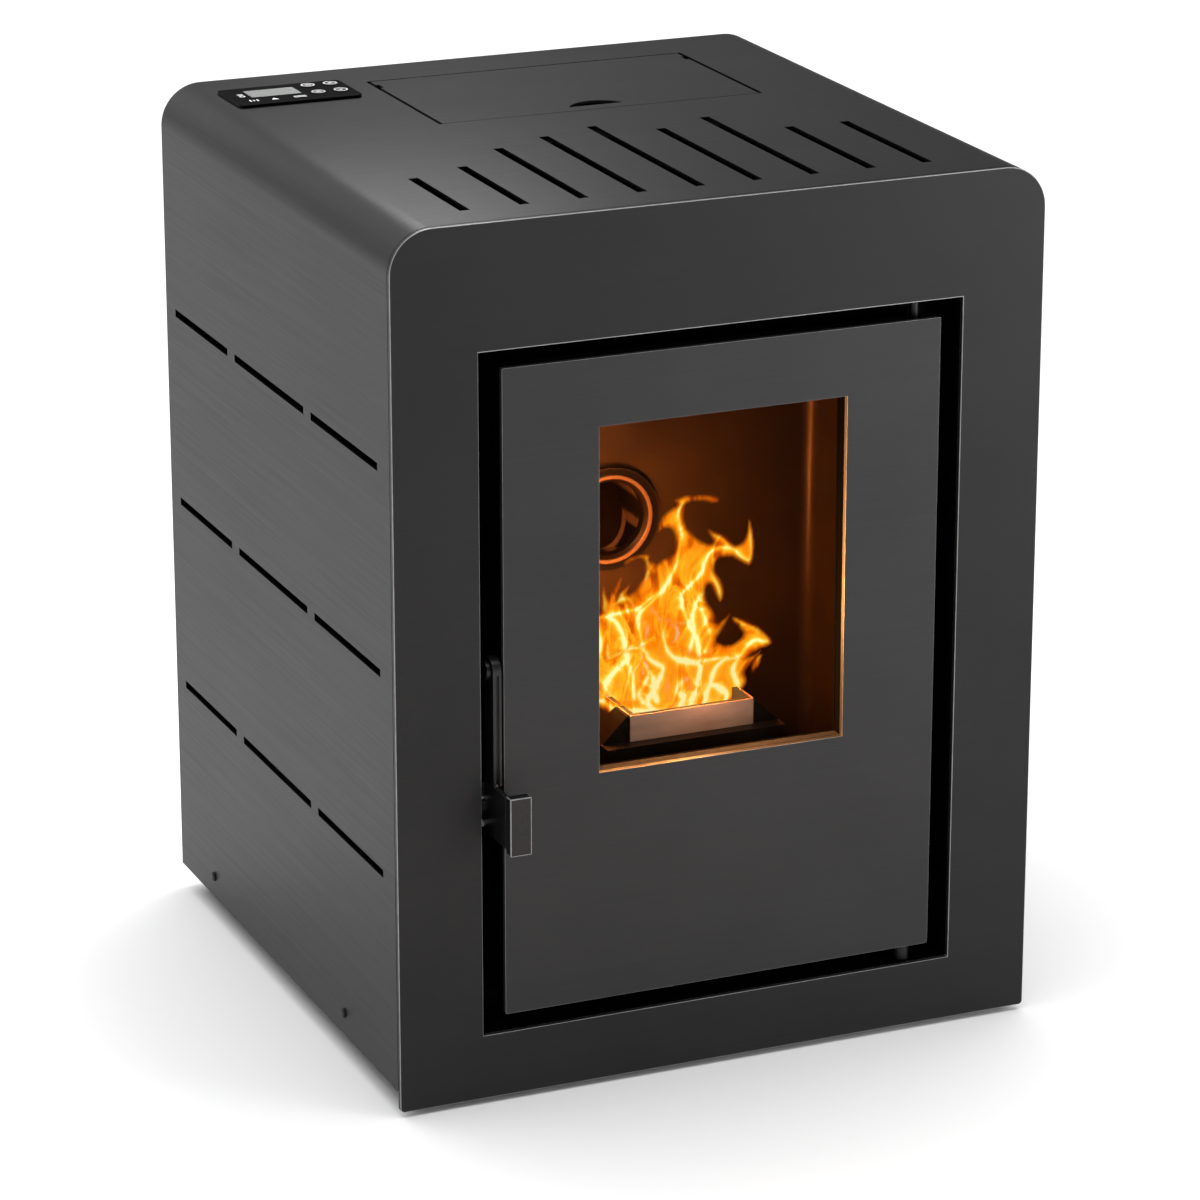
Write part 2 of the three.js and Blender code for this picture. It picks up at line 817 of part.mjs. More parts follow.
function makeLever() {
  const bar = new THREE.Shape();
  bar.moveTo(0, leverBarBottom);
  bar.lineTo(leverDepth, leverBarBottom);
  bar.lineTo(leverDepth, leverPivotHeight);
  bar.absarc(leverPivotY, leverPivotHeight, leverPivotY, 0, Math.PI, false);
  const arm = polygon([
    [-gripStandOff, armBottom],
    [leverDepth, armBottom],
    [leverDepth, noseBottom],
    [leverDepth + noseDepth, noseBottom],
    [leverDepth + noseDepth, noseBottom + noseHeight],
    [leverDepth, noseBottom + noseHeight],
    [leverDepth, leverBarBottom + leverShoulder],
    [leverShoulder, leverBarBottom + leverShoulder],
    [0, leverBarBottom],
    [-gripStandOff, leverBarBottom],
  ]);
  const middle = (leverLeft + leverRight) / 2;
  const groove = box(
    middle - leverGroove / 2, middle + leverGroove / 2, -past, leverGrooveDepth,
    leverBarBottom - past, leverPivotHeight - leverGrooveEnd,
  );
  const barSolid = plateYZ(bar, leverLeft, leverRight, 16);
  const armSolid = plateYZ(arm, leverLeft, leverLeft + armThickness);
  const pinHole = rodX(
    leverPinRadius + seat, leverLeft - past, leverRight + past, leverPivotY, leverPivotHeight,
  );
  return cut(join(cut(barSolid, groove), armSolid), pinHole);
}

function makeGrip() {
  const left = leverLeft;
  return box(
    left, left + gripWidth, gripFront, -gripStandOff - seat, gripBottom, gripBottom + gripHeight,
  );
}

// A sprung clip on the firebox flange: the lever's nose sits between its two prongs.
function makeKeeper() {
  const middle = (leverLeft + leverLeft + armThickness) / 2;
  const x0 = middle - keeperWidth / 2;
  const x1 = middle + keeperWidth / 2;
  const back = flangeFront - seat;
  const low = noseBottom - keeperClearance;
  const high = noseBottom + noseHeight + keeperClearance;
  const tip = leverDepth + keeperTip;
  return join(
    box(x0, x1, back - keeperSheet, back, low - keeperEnd, high + keeperEnd),
    box(x0, x1, tip, back - keeperSheet / 2, low - keeperSheet, low),
    box(x0, x1, tip, back - keeperSheet / 2, high, high + keeperSheet),
  );
}

// ---------------------------------------------------------------- firebox

// The plan outline of the firebox: open at the front, with its two rear corners rounded.
function fireboxPlan(half, front, back, radius) {
  const shape = new THREE.Shape();
  shape.moveTo(-half, front);
  shape.lineTo(half, front);
  shape.lineTo(half, back - radius);
  shape.absarc(half - radius, back - radius, radius, 0, Math.PI / 2, false);
  shape.lineTo(-half + radius, back);
  shape.absarc(-half + radius, back - radius, radius, Math.PI / 2, Math.PI, false);
  return shape;
}

function makeFirebox() {
  const shellFront = flangeFront + fireboxSheet - past;
  const outer = plateXY(
    fireboxPlan(
      fireboxHalfWidth + fireboxSheet, shellFront, fireboxRear, fireboxCorner + fireboxSheet,
    ),
    boxUnderside, fireboxTop + fireboxSheet,
  );
  const inner = plateXY(
    fireboxPlan(
      fireboxHalfWidth, flangeFront + fireboxSheet, fireboxBack, fireboxCorner,
    ),
    fireboxBottom, fireboxTop,
  );
  const flangeHalf = openingHalf + flangeEdge;
  const flange = box(
    -flangeHalf, flangeHalf, flangeFront, flangeFront + fireboxSheet,
    openingBottom - flangeEdge, openingTop + flangeEdge,
  );
  const mouth = box(
    -mouthHalfWidth, mouthHalfWidth, flangeFront - past, flangeFront + fireboxSheet + past,
    mouthBottom, mouthTop,
  );
  const y0 = fireboxBack - past;
  const y1 = fireboxRear + past;
  return cut(
    join(outer, flange), inner, mouth,
    rodY(chuteBore + chuteWall + seat, 0, y0, y1, chuteHeight, 32),
    rodY(airPipeRadius + seat, 0, y0, y1, airHeight, 20),
    rodY(igniterRadius + seat, igniterOffset, y0, y1, airHeight, 12),
    box(flueExitLeft, flueExitRight, y0, y1, flueExitBottom, flueExitBottom + flueExitHeight),
  );
}

function makeBaffle() {
  return box(
    -fireboxHalfWidth + seat, fireboxHalfWidth - seat,
    flangeFront + fireboxSheet + baffleFrontGap, fireboxBack - fireboxCorner - seat,
    baffleBottom, baffleBottom + baffleThickness,
  );
}

function makeStand() {
  const top = boxUnderside - seat;
  const outer = box(
    -standHalfWidth, standHalfWidth, standFront, fireboxBack, panTop + seat, top,
  );
  const inner = box(
    -standHalfWidth + standSheet, standHalfWidth - standSheet, standFront - past, fireboxBack + past,
    panTop, top - standSheet,
  );
  return cut(outer, inner);
}

function makeHolder() {
  const back = fireboxBack - seat;
  const low = holderTop - holderHeight;
  const body = box(-holderHalfWidth, holderHalfWidth, holderFront, back, low, holderTop);
  const inside = box(
    -holderHalfWidth + holderSheet, holderHalfWidth - holderSheet,
    holderFront + holderSheet, back - holderSheet, low - past, holderTop - holderSheet,
  );
  const ridgeHalf = holderHalfWidth - ridgeStep;
  const ridge = plateXZ(
    polygon([
      [-ridgeHalf, holderTop - past],
      [ridgeHalf, holderTop - past],
      [ridgeHalf, holderTop],
      [ridgeHalf - ridgeInset, holderTop + ridgeHeight],
      [-ridgeHalf + ridgeInset, holderTop + ridgeHeight],
      [-ridgeHalf, holderTop],
    ]),
    ridgeFront, ridgeBack,
  );
  const potSeat = box(
    -potHalfWidth - seat, potHalfWidth + seat, holderFront, potBack + seat,
    holderTop, holderTop + ridgeHeight + past,
  );
  const lap = potCollarLap - potHoleGap;
  const potHole = box(
    -potHalfWidth + lap, potHalfWidth - lap, potFront + lap, potBack - lap,
    holderTop - holderSheet - past, holderTop + past,
  );
  const y0 = back - holderSheet - past;
  return cut(
    join(body, ridge), inside, potSeat, potHole,
    rodY(airPipeRadius + seat, 0, y0, back + past, airHeight, 20),
    rodY(igniterRadius + seat, igniterOffset, y0, back + past, airHeight, 12),
  );
}

function makeBurnPot() {
  const lap = potCollarLap;
  const collar = box(
    -potHalfWidth, potHalfWidth, potFront, potBack, holderTop + seat, potTop,
  );
  const lower = box(
    -potHalfWidth + lap, potHalfWidth - lap, potFront + lap, potBack - lap,
    potBottom, holderTop + past,
  );
  const collarBore = box(
    -potHalfWidth + potWall, potHalfWidth - potWall, potFront + potWall, potBack - potWall,
    holderTop + potWall, potTop + past,
  );
  const lowerBore = box(
    -potHalfWidth + lap + potWall, potHalfWidth - lap - potWall,
    potFront + lap + potWall, potBack - lap - potWall, potBottom + potWall, potTop,
  );
  const holes = [];
  const middleY = (potFront + potBack) / 2;
  for (const column of [-1, 0, 1]) {
    for (const row of [-1, 0, 1]) {
      holes.push(rodZ(
        potAirHole, column * potAirHolePitch, middleY + row * potAirHolePitch,
        potBottom - past, potBottom + potWall + past, 6,
      ));
    }
  }
  return cut(join(collar, lower), collarBore, lowerBore, ...holes);
}

function makeAshPan() {
  const low = fireboxBottom + seat;
  const outer = box(
    -ashPanHalfWidth, ashPanHalfWidth, ashPanFront, ashPanBack, low, low + ashPanHeight,
  );
  const inner = box(
    -ashPanHalfWidth + ashPanSheet, ashPanHalfWidth - ashPanSheet,
    ashPanFront + ashPanSheet, ashPanBack - ashPanSheet,
    low + ashPanSheet, low + ashPanHeight + past,
  );
  return cut(outer, inner);
}

function makeAirPipe() {
  const front = fireboxBack - airPipeInside;
  const back = bodyDepth + airPipeEnd;
  return cut(
    rodY(airPipeRadius, 0, front, back, airHeight, 20),
    rodY(airPipeRadius - airPipeWall, 0, front - past, back + past, airHeight, 20),
  );
}

function makeIgniter() {
  const flangeFrontY = fireboxRear + seat;
  return join(
    rodY(igniterRadius, igniterOffset, igniterTip, igniterTail, airHeight, 12),
    rodY(
      igniterFlangeRadius, igniterOffset, flangeFrontY, flangeFrontY + igniterFlange, airHeight, 12,
    ),
  );
}

// Drops pellets from the front end of the auger tube to the round mouth in the back wall.
function makeChute() {
  const ringBack = fireboxBack - seat;
  const ringFront = ringBack - chuteRingThickness;
  const boxFront = fireboxRear + seat;
  const toe = boxFront + chuteToe;
  const rise = chuteRise;
  const wall = chuteWall;
  const outer = plateYZ(
    polygon([
      [boxFront, chuteFloor],
      [toe, chuteFloor],
      [chuteBack, chuteFloor + rise],
      [chuteBack, chuteTop],
      [boxFront, chuteTop],
    ]),
    -chuteHalfWidth, chuteHalfWidth,
  );
  const inner = plateYZ(
    polygon([
      [boxFront + wall, chuteFloor + wall],
      [toe - wall / 2, chuteFloor + wall],
      [chuteBack - wall, chuteFloor + rise + wall / 2],
      [chuteBack - wall, chuteTop - wall],
      [boxFront + wall, chuteTop - wall],
    ]),
    -chuteHalfWidth + wall, chuteHalfWidth - wall,
  );
  const stub = rodY(chuteBore + wall, 0, ringBack - past, boxFront + past, chuteHeight, 32);
  const ring = rodY(chuteRingRadius, 0, ringFront, ringBack, chuteHeight, 32);
  const bevel = coneY(
    chuteBore + chuteRingBevel + past, chuteBore, 0, ringFront - past,
    ringFront + chuteRingBevel, chuteHeight, 32,
  );
  const bore = rodY(chuteBore, 0, ringFront - past, boxFront + wall + past, chuteHeight, 32);
  const tube = rodY(
    augerTubeRadius + seat, 0, augerTubeFront - seat, augerTubeBack, augerHeight, 24,
  );
  return cut(join(outer, stub, ring), inner, bore, bevel, tube);
}

// ---------------------------------------------------------------- auger and hopper

function makeAugerTube() {
  const outer = rodY(augerTubeRadius, 0, augerTubeFront, augerTubeBack, augerHeight, 24);
  const half = augerFlange / 2;
  const flange = box(
    -half, half, augerTubeBack - augerFlangeThickness, augerTubeBack,
    augerHeight - half, augerHeight + half,
  );
  const bore = rodY(
    augerTubeRadius - augerTubeWall, 0, augerTubeFront + augerTubeWall,
    augerTubeBack - augerFlangeThickness, augerHeight, 24,
  );
  const discharge = box(
    -outletHalfWidth, outletHalfWidth,
    augerTubeFront + dischargeMargin, chuteBack - chuteWall - dischargeMargin,
    augerHeight - augerTubeRadius - past, augerHeight - augerTubeRadius / 2,
  );
  const feed = box(
    -outletHalfWidth + hopperSheet, outletHalfWidth - hopperSheet,
    outletFront + hopperSheet, outletBack - hopperSheet,
    augerHeight + augerTubeRadius / 2, augerHeight + augerTubeRadius + past,
  );
  return cut(
    join(outer, flange), bore, discharge, feed,
    rodY(
      screwJournal + seat, 0, augerTubeFront - past, augerTubeFront + augerTubeWall + past,
      augerHeight, 12,
    ),
    rodY(
      screwShaft + seat, 0, augerTubeBack - augerFlangeThickness - past, augerTubeBack + past,
      augerHeight, 12,
    ),
  );
}

// The flight of the auger: a rectangular section swept along a helix about the tube's axis.
function makeFlight(y0, y1) {
  const stepsPerTurn = 12;
  const steps = Math.round(((y1 - y0 - screwFlight) / screwPitch) * stepsPerTurn);
  const inside = screwShaft - past;
  const positions = [];
  for (let step = 0; step <= steps; step += 1) {
    const angle = (step / stepsPerTurn) * 2 * Math.PI;
    const y = y0 + (step / stepsPerTurn) * screwPitch;
    for (const [radius, along] of [
      [inside, 0],
      [screwRadius, 0],
      [screwRadius, screwFlight],
      [inside, screwFlight],
    ]) {
      positions.push(
        radius * Math.cos(angle), y + along, augerHeight + radius * Math.sin(angle),
      );
    }
  }
  const faces = [0, 2, 1, 0, 3, 2];
  for (let step = 0; step < steps; step += 1) {
    for (let corner = 0; corner < 4; corner += 1) {
      const a = step * 4 + corner;
      const b = step * 4 + ((corner + 1) % 4);
      faces.push(a, b, b + 4, a, b + 4, a + 4);
    }
  }
  const last = steps * 4;
  faces.push(last, last + 1, last + 2, last, last + 2, last + 3);
  const geometry = new THREE.BufferGeometry();
  geometry.setAttribute("position", new THREE.BufferAttribute(new Float32Array(positions), 3));
  geometry.setIndex(faces);
  return solid(geometry);
}

function makeAugerScrew() {
  const front = augerTubeFront + augerTubeWall + shaftEndGap;
  const back = augerTubeBack - augerFlangeThickness - shaftEndGap;
  return join(
    rodY(screwShaft, 0, front, augerTubeBack + screwShaftReach, augerHeight, 12),
    rodY(screwJournal, 0, augerTubeFront, front + screwFlight, augerHeight, 12),
    makeFlight(front, back),
  );
}

function makeGearmotor() {
  const front = augerTubeBack + seat;
  const half = gearboxWidth / 2;
  const gearbox = box(
    -half, half, front, front + gearboxLength, augerHeight - half, augerHeight + half,
  );
  const motor = rodY(
    augerMotorRadius, 0, front + gearboxLength / 2, front + gearboxLength + augerMotorLength,
    augerHeight, 24,
  );
  const bore = rodY(
    screwShaft + seat, 0, front - past, front + screwShaftReach + shaftEndGap, augerHeight, 12,
  );
  return cut(join(gearbox, motor), bore);
}

function makeHopper() {
  const sheet = hopperSheet;
  const throatTop = hopperThroat;
  const body = box(
    hopperLeft, hopperRight, hopperFront, hopperBack, hopperShoulder, hopperTop,
  );
  const slope = funnel(
    [-outletHalfWidth, outletHalfWidth, outletFront, outletBack, throatTop],
    [hopperLeft, hopperRight, hopperFront, hopperBack, hopperShoulder],
  );
  const spout = box(
    -outletHalfWidth, outletHalfWidth, outletFront, outletBack,
    augerHeight + augerTubeRadius / 2, throatTop + sheet,
  );
  const flange = box(
    hopperLeft, hopperRight, hopperFlangeFront, hopperFront + past,
    hopperTop - hopperTopSheet, hopperTop,
  );
  const bodyInside = box(
    hopperLeft + sheet, hopperRight - sheet, hopperFront + sheet, hopperBack - sheet,
    hopperShoulder, hopperTop - hopperTopSheet,
  );
  const slopeInside = funnel(
    [
      -outletHalfWidth + sheet, outletHalfWidth - sheet,
      outletFront + sheet, outletBack - sheet, throatTop,
    ],
    [
      hopperLeft + sheet, hopperRight - sheet,
      hopperFront + sheet, hopperBack - sheet, hopperShoulder + skin,
    ],
  );
  const spoutInside = box(
    -outletHalfWidth + sheet, outletHalfWidth - sheet, outletFront + sheet, outletBack - sheet,
    augerHeight, throatTop + skin,
  );
  const fill = box(
    fillLeft, fillRight, fillFront, fillBack, hopperTop - hopperTopSheet - past, hopperTop + past,
  );
  const tube = rodY(
    augerTubeRadius + seat, 0, augerTubeFront, augerTubeBack, augerHeight, 24,
  );
  return cut(
    join(body, slope, spout, flange), bodyInside, slopeInside, spoutInside, fill, tube,
  );
}

function makeGuard() {
  const x0 = hopperLeft + hopperSheet + seat;
  const x1 = hopperRight - hopperSheet - seat;
  const y0 = hopperFront + hopperSheet + seat;
  const y1 = hopperBack - hopperSheet - seat;
  const top = guardHeight + guardThickness;
  const outer = box(x0, x1, y0, y1, guardHeight, top);
  const cells = [];
  const pitch = (x1 - x0 - guardBar) / guardCells;
  for (let index = 0; index < guardCells; index += 1) {
    const left = x0 + guardBar + index * pitch;
    const right = left + pitch - guardBar;
    cells.push(box(left, right, y0 + guardBar, y1 - guardBar, guardHeight - past, top + past));
  }
  return cut(outer, ...cells);
}

function makeLid() {
  const low = bodyHeight - lidSheet;
  const plate = box(lidLeft, lidRight, lidFront, lidBack, low, bodyHeight);
  const half = lidTabLength / 2;
  const cuts = [];
  const extras = [];
  for (const [edge, inward] of [[lidLeft, 1], [lidRight, -1]]) {
    const across = (from, to) => [edge + inward * from, edge + inward * to].sort((a, b) => a - b);
    const [n0, n1] = across(-1, lidNotch);
    cuts.push(box(n0, n1, lidHingeY - half, lidHingeY + half, low - past, bodyHeight + past));
    const [t0, t1] = across(lidTabInset, lidTabInset + lidTabSheet);
    extras.push(box(
      t0, t1, lidHingeY - half, lidHingeY + half,
      lidHingeZ - lidPinRadius - lidTabMargin, low + lidSheet / 2,
    ));
    const [p0, p1] = across(-lidSideGap - mouthMargin + 2 * seat, lidTabInset + past);
    extras.push(rodX(lidPinRadius, p0, p1, lidHingeY, lidHingeZ, 12));
  }
  const chordY = lidFront + fingerHoleFromFront;
  const halfWidth = fingerHoleWidth / 2;
  const radius = (halfWidth ** 2 + fingerHoleDepth ** 2) / (2 * fingerHoleDepth);
  const middle = (lidLeft + lidRight) / 2;
  const disc = rodZ(
    radius, middle, chordY + fingerHoleDepth - radius, low - past, bodyHeight + past, 40,
  );
  const behindChord = box(
    middle - radius - past, middle + radius + past, chordY, chordY + 2 * radius,
    low - past, bodyHeight + past,
  );
  return cut(join(plate, ...extras), ...cuts, disc.intersect(behindChord));
}

function makeLidBracket(side) {
  const edge = side < 0 ? fillLeft + seat : fillRight - seat - lidBracketSheet;
  const half = lidBracketLength / 2;
  const top = innerTop - seat;
  return cut(
    box(
      edge, edge + lidBracketSheet, lidHingeY - half, lidHingeY + half, top - lidBracketHeight, top,
    ),
    rodX(lidPinRadius + seat, edge - past, edge + lidBracketSheet + past, lidHingeY, lidHingeZ, 12),
  );
}

// ---------------------------------------------------------------- smoke side

function makeFlueDuct() {
  const front = fireboxRear + seat;
  const back = front + ductDepth;
  const top = flueExitBottom + flueExitHeight + ductSheet;
  const sheet = ductSheet;
  const legLeft = smokeFanLeft + smokeFanWidth + seat;
  const upright = box(ductLeft, ductRight, front, back, ductBottom, top);
  const leg = box(legLeft, ductRight, back - past, ductLegBack, ductBottom, ductLegTop);
  const uprightInside = box(
    ductLeft + sheet, ductRight - sheet, front + sheet, back - sheet,
    ductBottom + sheet, top - sheet,
  );
  const legInside = box(
    legLeft + sheet, ductRight - sheet, back - sheet - past, ductLegBack - sheet,
    ductBottom + sheet, ductLegTop - sheet,
  );
  const exit = box(
    flueExitLeft, flueExitRight, front - past, front + sheet + past,
    flueExitBottom, top - sheet,
  );
  const inlet = rodX(smokeFanInlet, legLeft - past, legLeft + sheet + past, smokeFanY, smokeFanZ, 20);
  return cut(join(upright, leg), uprightInside, legInside, exit, inlet);
}

function makeSmokeFanHousing() {
  const left = smokeFanLeft;
  const right = left + smokeFanWidth;
  const sheet = smokeFanSheet;
  const top = smokeFanZ + smokeFanRadius;
  const outer = join(
    rodX(smokeFanRadius, left, right, smokeFanY, smokeFanZ, 32),
    box(left, right, smokeFanY, smokeFanOutletBack, smokeFanZ, top),
  );
  const inner = join(
    rodX(smokeFanRadius - sheet, left + sheet, right - sheet, smokeFanY, smokeFanZ, 32),
    box(
      left + sheet, right - sheet, smokeFanY, smokeFanOutletBack + past,
      smokeFanZ + sheet, top - sheet,
    ),
  );
  return cut(
    outer, inner,
    rodX(smokeFanInlet, right - sheet - past, right + past, smokeFanY, smokeFanZ, 20),
    rodX(fanShaftRadius + seat, left - past, left + sheet + past, smokeFanY, smokeFanZ, 12),
  );
}

// A motor can with a blind bore for the fan's shaft in its right-hand end.
function makeFanMotor(radius, x0, x1, y, z, openRight) {
  const bore = openRight
    ? rodX(fanShaftRadius + seat, x1 - fanShaftReach - shaftEndGap, x1 + past, y, z, 12)
    : rodX(fanShaftRadius + seat, x0 - past, x0 + fanShaftReach + shaftEndGap, y, z, 12);
  return cut(rodX(radius, x0, x1, y, z, 24), bore);
}

// A fan wheel: a disc with flat blades, a hub and a shaft that reaches into its motor.
function makeWheel(radius, blades, x0, x1, shaftEnd, y, z) {
  const hubRadius = 2 * fanShaftRadius;
  const bladeLength = radius - bladeInset - hubRadius / 2;
  const discLeft = shaftEnd < x0;
  const disc = discLeft
    ? rodX(radius, x0, x0 + bladeSheet, y, z, 24)
    : rodX(radius, x1 - bladeSheet, x1, y, z, 24);
  const pieces = [
    disc,
    rodX(hubRadius, x0, x1, y, z, 12),
    rodX(
      fanShaftRadius, Math.min(shaftEnd, x0 + bladeSheet), Math.max(shaftEnd, x1 - bladeSheet),
      y, z, 12,
    ),
  ];
  for (let index = 0; index < blades; index += 1) {
    const geometry = new THREE.BoxGeometry(x1 - x0, bladeSheet, bladeLength);
    geometry.translate((x0 + x1) / 2, 0, (bladeLength + hubRadius) / 2);
    geometry.rotateX((index / blades) * 2 * Math.PI);
    geometry.translate(0, y, z);
    pieces.push(solid(geometry));
  }
  return join(...pieces);
}

function makeSmokeImpeller() {
  const x0 = smokeFanLeft + smokeFanSheet + impellerGap;
  const x1 = smokeFanLeft + smokeFanWidth - smokeFanSheet - impellerGap;
  return makeWheel(
    impellerRadius, impellerBlades, x0, x1, smokeFanLeft - seat - fanShaftReach,
    smokeFanY, smokeFanZ,
  );
}

function makeSpigot() {
  const front = smokeFanOutletBack + seat;
  const half = spigotFlange / 2;
  return cut(
    join(
      box(
        spigotX - half, spigotX + half, front, front + spigotFlangeThickness,
        spigotZ - half, spigotZ + half,
      ),
      rodY(spigotRadius, spigotX, front + past, spigotEnd, spigotZ, 32),
    ),
    rodY(spigotRadius - spigotWall, spigotX, front - past, spigotEnd + past, spigotZ, 32),
  );
}

// ---------------------------------------------------------------- room air blower

function makeBlowerHousing() {
  const left = blowerLeft;
  const right = left + blowerWidth;
  const sheet = blowerSheet;
  const front = blowerY - blowerRadius;
  const outer = join(
    rodX(blowerRadius, left, right, blowerY, blowerZ, 32),
    box(left, right, front, blowerY, blowerZ, blowerOutletTop),
  );
  const inner = join(
    rodX(blowerRadius - sheet, left + sheet, right - sheet, blowerY, blowerZ, 32),
    box(left + sheet, right - sheet, front + sheet, blowerY - sheet, blowerZ, blowerOutletTop + past),
  );
  return cut(
    outer, inner,
    rodX(blowerInlet, left - past, left + sheet + past, blowerY, blowerZ, 20),
    rodX(fanShaftRadius + seat, right - sheet - past, right + past, blowerY, blowerZ, 12),
  );
}

function makeBlowerWheel() {
  const x0 = blowerLeft + blowerSheet + impellerGap;
  const x1 = blowerLeft + blowerWidth - blowerSheet - impellerGap;
  const shaftEnd = blowerLeft + blowerWidth + seat + fanShaftReach;
  return makeWheel(blowerWheelRadius, blowerBlades, x0, x1, shaftEnd, blowerY, blowerZ);
}

// ---------------------------------------------------------------- controls and mains

function makeControlPanel() {
  const rim = panelRim;
  const halfX = panelWidth / 2;
  const halfY = panelDepth / 2;
  const cap = plateXY(
    roundedRect(
      panelMiddleX - halfX, panelMiddleX + halfX, panelMiddleY - halfY, panelMiddleY + halfY,
      panelCornerRadius,
    ),
    bodyHeight + seat, panelTop,
  );
  const body = box(
    panelMiddleX - halfX + rim, panelMiddleX + halfX - rim,
    panelMiddleY - halfY + rim, panelMiddleY + halfY - rim,
    bodyHeight - panelBodyDepth, bodyHeight + seat + panelRise / 2,
  );
  const keyFloor = panelTop + keyRise - keyHeight - keyPocket;
  const pockets = [];
  for (const x of keyColumns) {
    for (const y of keyRows) {
      pockets.push(rodZ(keyRadius + seat, x, y, keyFloor, panelTop + past, 20));
    }
  }
  const display = box(
    displayLeft - seat, displayRight + seat, displayFront - seat, displayBack + seat,
    panelTop - displayThickness - seat, panelTop + past,
  );
  return cut(join(cap, body), display, ...pockets);
}

function makeDisplay() {
  return box(
    displayLeft, displayRight, displayFront, displayBack, panelTop - displayThickness, panelTop,
  );
}

function makeKey(x, y) {
  const top = panelTop + keyRise;
  return rodZ(keyRadius, x, y, top - keyHeight, top, 20);
}

function makeControlBoard() {
  const right = hopperLeft - seat;
  return box(right - boardWidth, right, boardFront, boardBack, boardBottom, boardTop);
}

function makePowerInlet() {
  const halfX = inletWidth / 2;
  const rim = inletRim;
  const flange = box(
    inletMiddleX - halfX - rim, inletMiddleX + halfX + rim, rearPanelBack + seat, inletBack,
    inletBottom - rim, inletTop + rim,
  );
  const body = box(
    inletMiddleX - halfX, inletMiddleX + halfX, inletBack - inletBodyDepth, inletBack - past,
    inletBottom, inletTop,
  );
  const socketLow = inletBottom + socketRise;
  const socket = box(
    inletMiddleX - socketWidth / 2, inletMiddleX + socketWidth / 2,
    inletBack - socketDepth, inletBack + past, socketLow, socketLow + socketHeight,
  );
  const contactMiddle = socketLow + socketHeight / 2;
  const contacts = [-1, 0, 1].map((place) => {
    const x = inletMiddleX + place * contactPitch;
    return box(
      x - contactWidth / 2, x + contactWidth / 2,
      inletBack - inletBodyDepth, inletBack - socketDepth + contactLength,
      contactMiddle - contactHeight / 2, contactMiddle + contactHeight / 2,
    );
  });
  const rockerMiddle = rockerCentreZ();
  const pocket = box(
    inletMiddleX - rockerWidth / 2 - seat, inletMiddleX + rockerWidth / 2 + seat,
    inletBack - rockerDepth - shaftEndGap, inletBack + past,
    rockerMiddle - rockerHeight / 2 - 2 * seat, rockerMiddle + rockerHeight / 2 + 2 * seat,
  );
  return join(cut(join(flange, body), socket, pocket), ...contacts);
}

function rockerCentreZ() {
  return inletTop - rockerDrop - rockerHeight / 2;
}

// The rocker turns about a line along x at the middle of its height, in the face of its inlet.
// It is made level and then tilted to one of its two positions.
function makeRocker() {
  const half = rockerHeight / 2;
  const level = [
    [-rockerDepth, -half / 2],
    [0, -half],
    [rockerProud, -half],
    [rockerProud / 2, 0],
    [rockerProud, half],
    [0, half],
    [-rockerDepth, half / 2],
  ];
  const angle = THREE.MathUtils.degToRad(-rockerTilt);
  const tilted = level.map(([y, z]) => [
    inletBack + y * Math.cos(angle) - z * Math.sin(angle),
    rockerCentreZ() + y * Math.sin(angle) + z * Math.cos(angle),
  ]);
  const halfWidth = rockerWidth / 2;
  return plateYZ(polygon(tilted), inletMiddleX - halfWidth, inletMiddleX + halfWidth);
}

function makeThermostat() {
  const front = rearPanelFront - seat - resetBodyLength;
  const neckBack = rearPanelBack + resetProud;
  return cut(
    join(
      rodY(resetBodyRadius, inletMiddleX, front, rearPanelFront - seat, resetHeight, 16),
      rodY(resetNeckRadius, inletMiddleX, rearPanelFront - past, neckBack, resetHeight, 12),
    ),
    rodY(
      resetButtonRadius + seat, inletMiddleX, neckBack - resetButtonLength - past, neckBack + past,
      resetHeight, 12,
    ),
  );
}

function makeResetButton() {
  const back = rearPanelBack + resetProud + resetButtonProud;
  return rodY(
    resetButtonRadius, inletMiddleX, back - resetButtonLength, back, resetHeight, 12,
  );
}

// ---------------------------------------------------------------- assembly

const stove = new THREE.Group();
stove.name = "pellet_stove";
const frontMost = gripFront;
const rearMost = spigotEnd;
stove.position.y = -(frontMost + rearMost) / 2;

function paint(color, roughness, metalness) {
  return new THREE.MeshStandardMaterial({ color, roughness, metalness });
}

const casingPaint = () => paint(0x5c5c5c, 0.45, 0.6);
const plainSteel = () => paint(0x8d8f91, 0.4, 0.9);
const blackPaint = () => paint(0x161616, 0.6, 0.4);
const hotSteel = () => paint(0x3a2b22, 0.7, 0.5);
const blackPlastic = () => paint(0x101010, 0.35, 0);

function add(name, made, material) {
  const mesh = new THREE.Mesh(geometryOf(made), material);
  mesh.name = name;
  stove.add(mesh);
}

add("front_plate", makeFrontPlate(), casingPaint());
add("casing", makeCasing(), casingPaint());
add("rear_panel", makeRearPanel(), blackPaint());
add("base_pan", makeBasePan(), blackPaint());
add("opening_surround", makeSurround(), blackPaint());

const footX = bodyHalf - footInsetX;
const feet = {
  foot_front_left: [-footX, footInsetY],
  foot_front_right: [footX, footInsetY],
  foot_rear_left: [-footX, bodyDepth - footInsetY],
  foot_rear_right: [footX, bodyDepth - footInsetY],
};
for (const [name, [x, y]] of Object.entries(feet)) {
  add(name, makeFoot(x, y), paint(0x0c0c0c, 0.9, 0));
}
for (const [side, sideName] of [[-1, "left"], [1, "right"]]) {
  screwPlaces.forEach((y, index) => {
    add(`side_screw_${sideName}_${index + 1}`, makeSideScrew(side, y), blackPaint());
  });
}

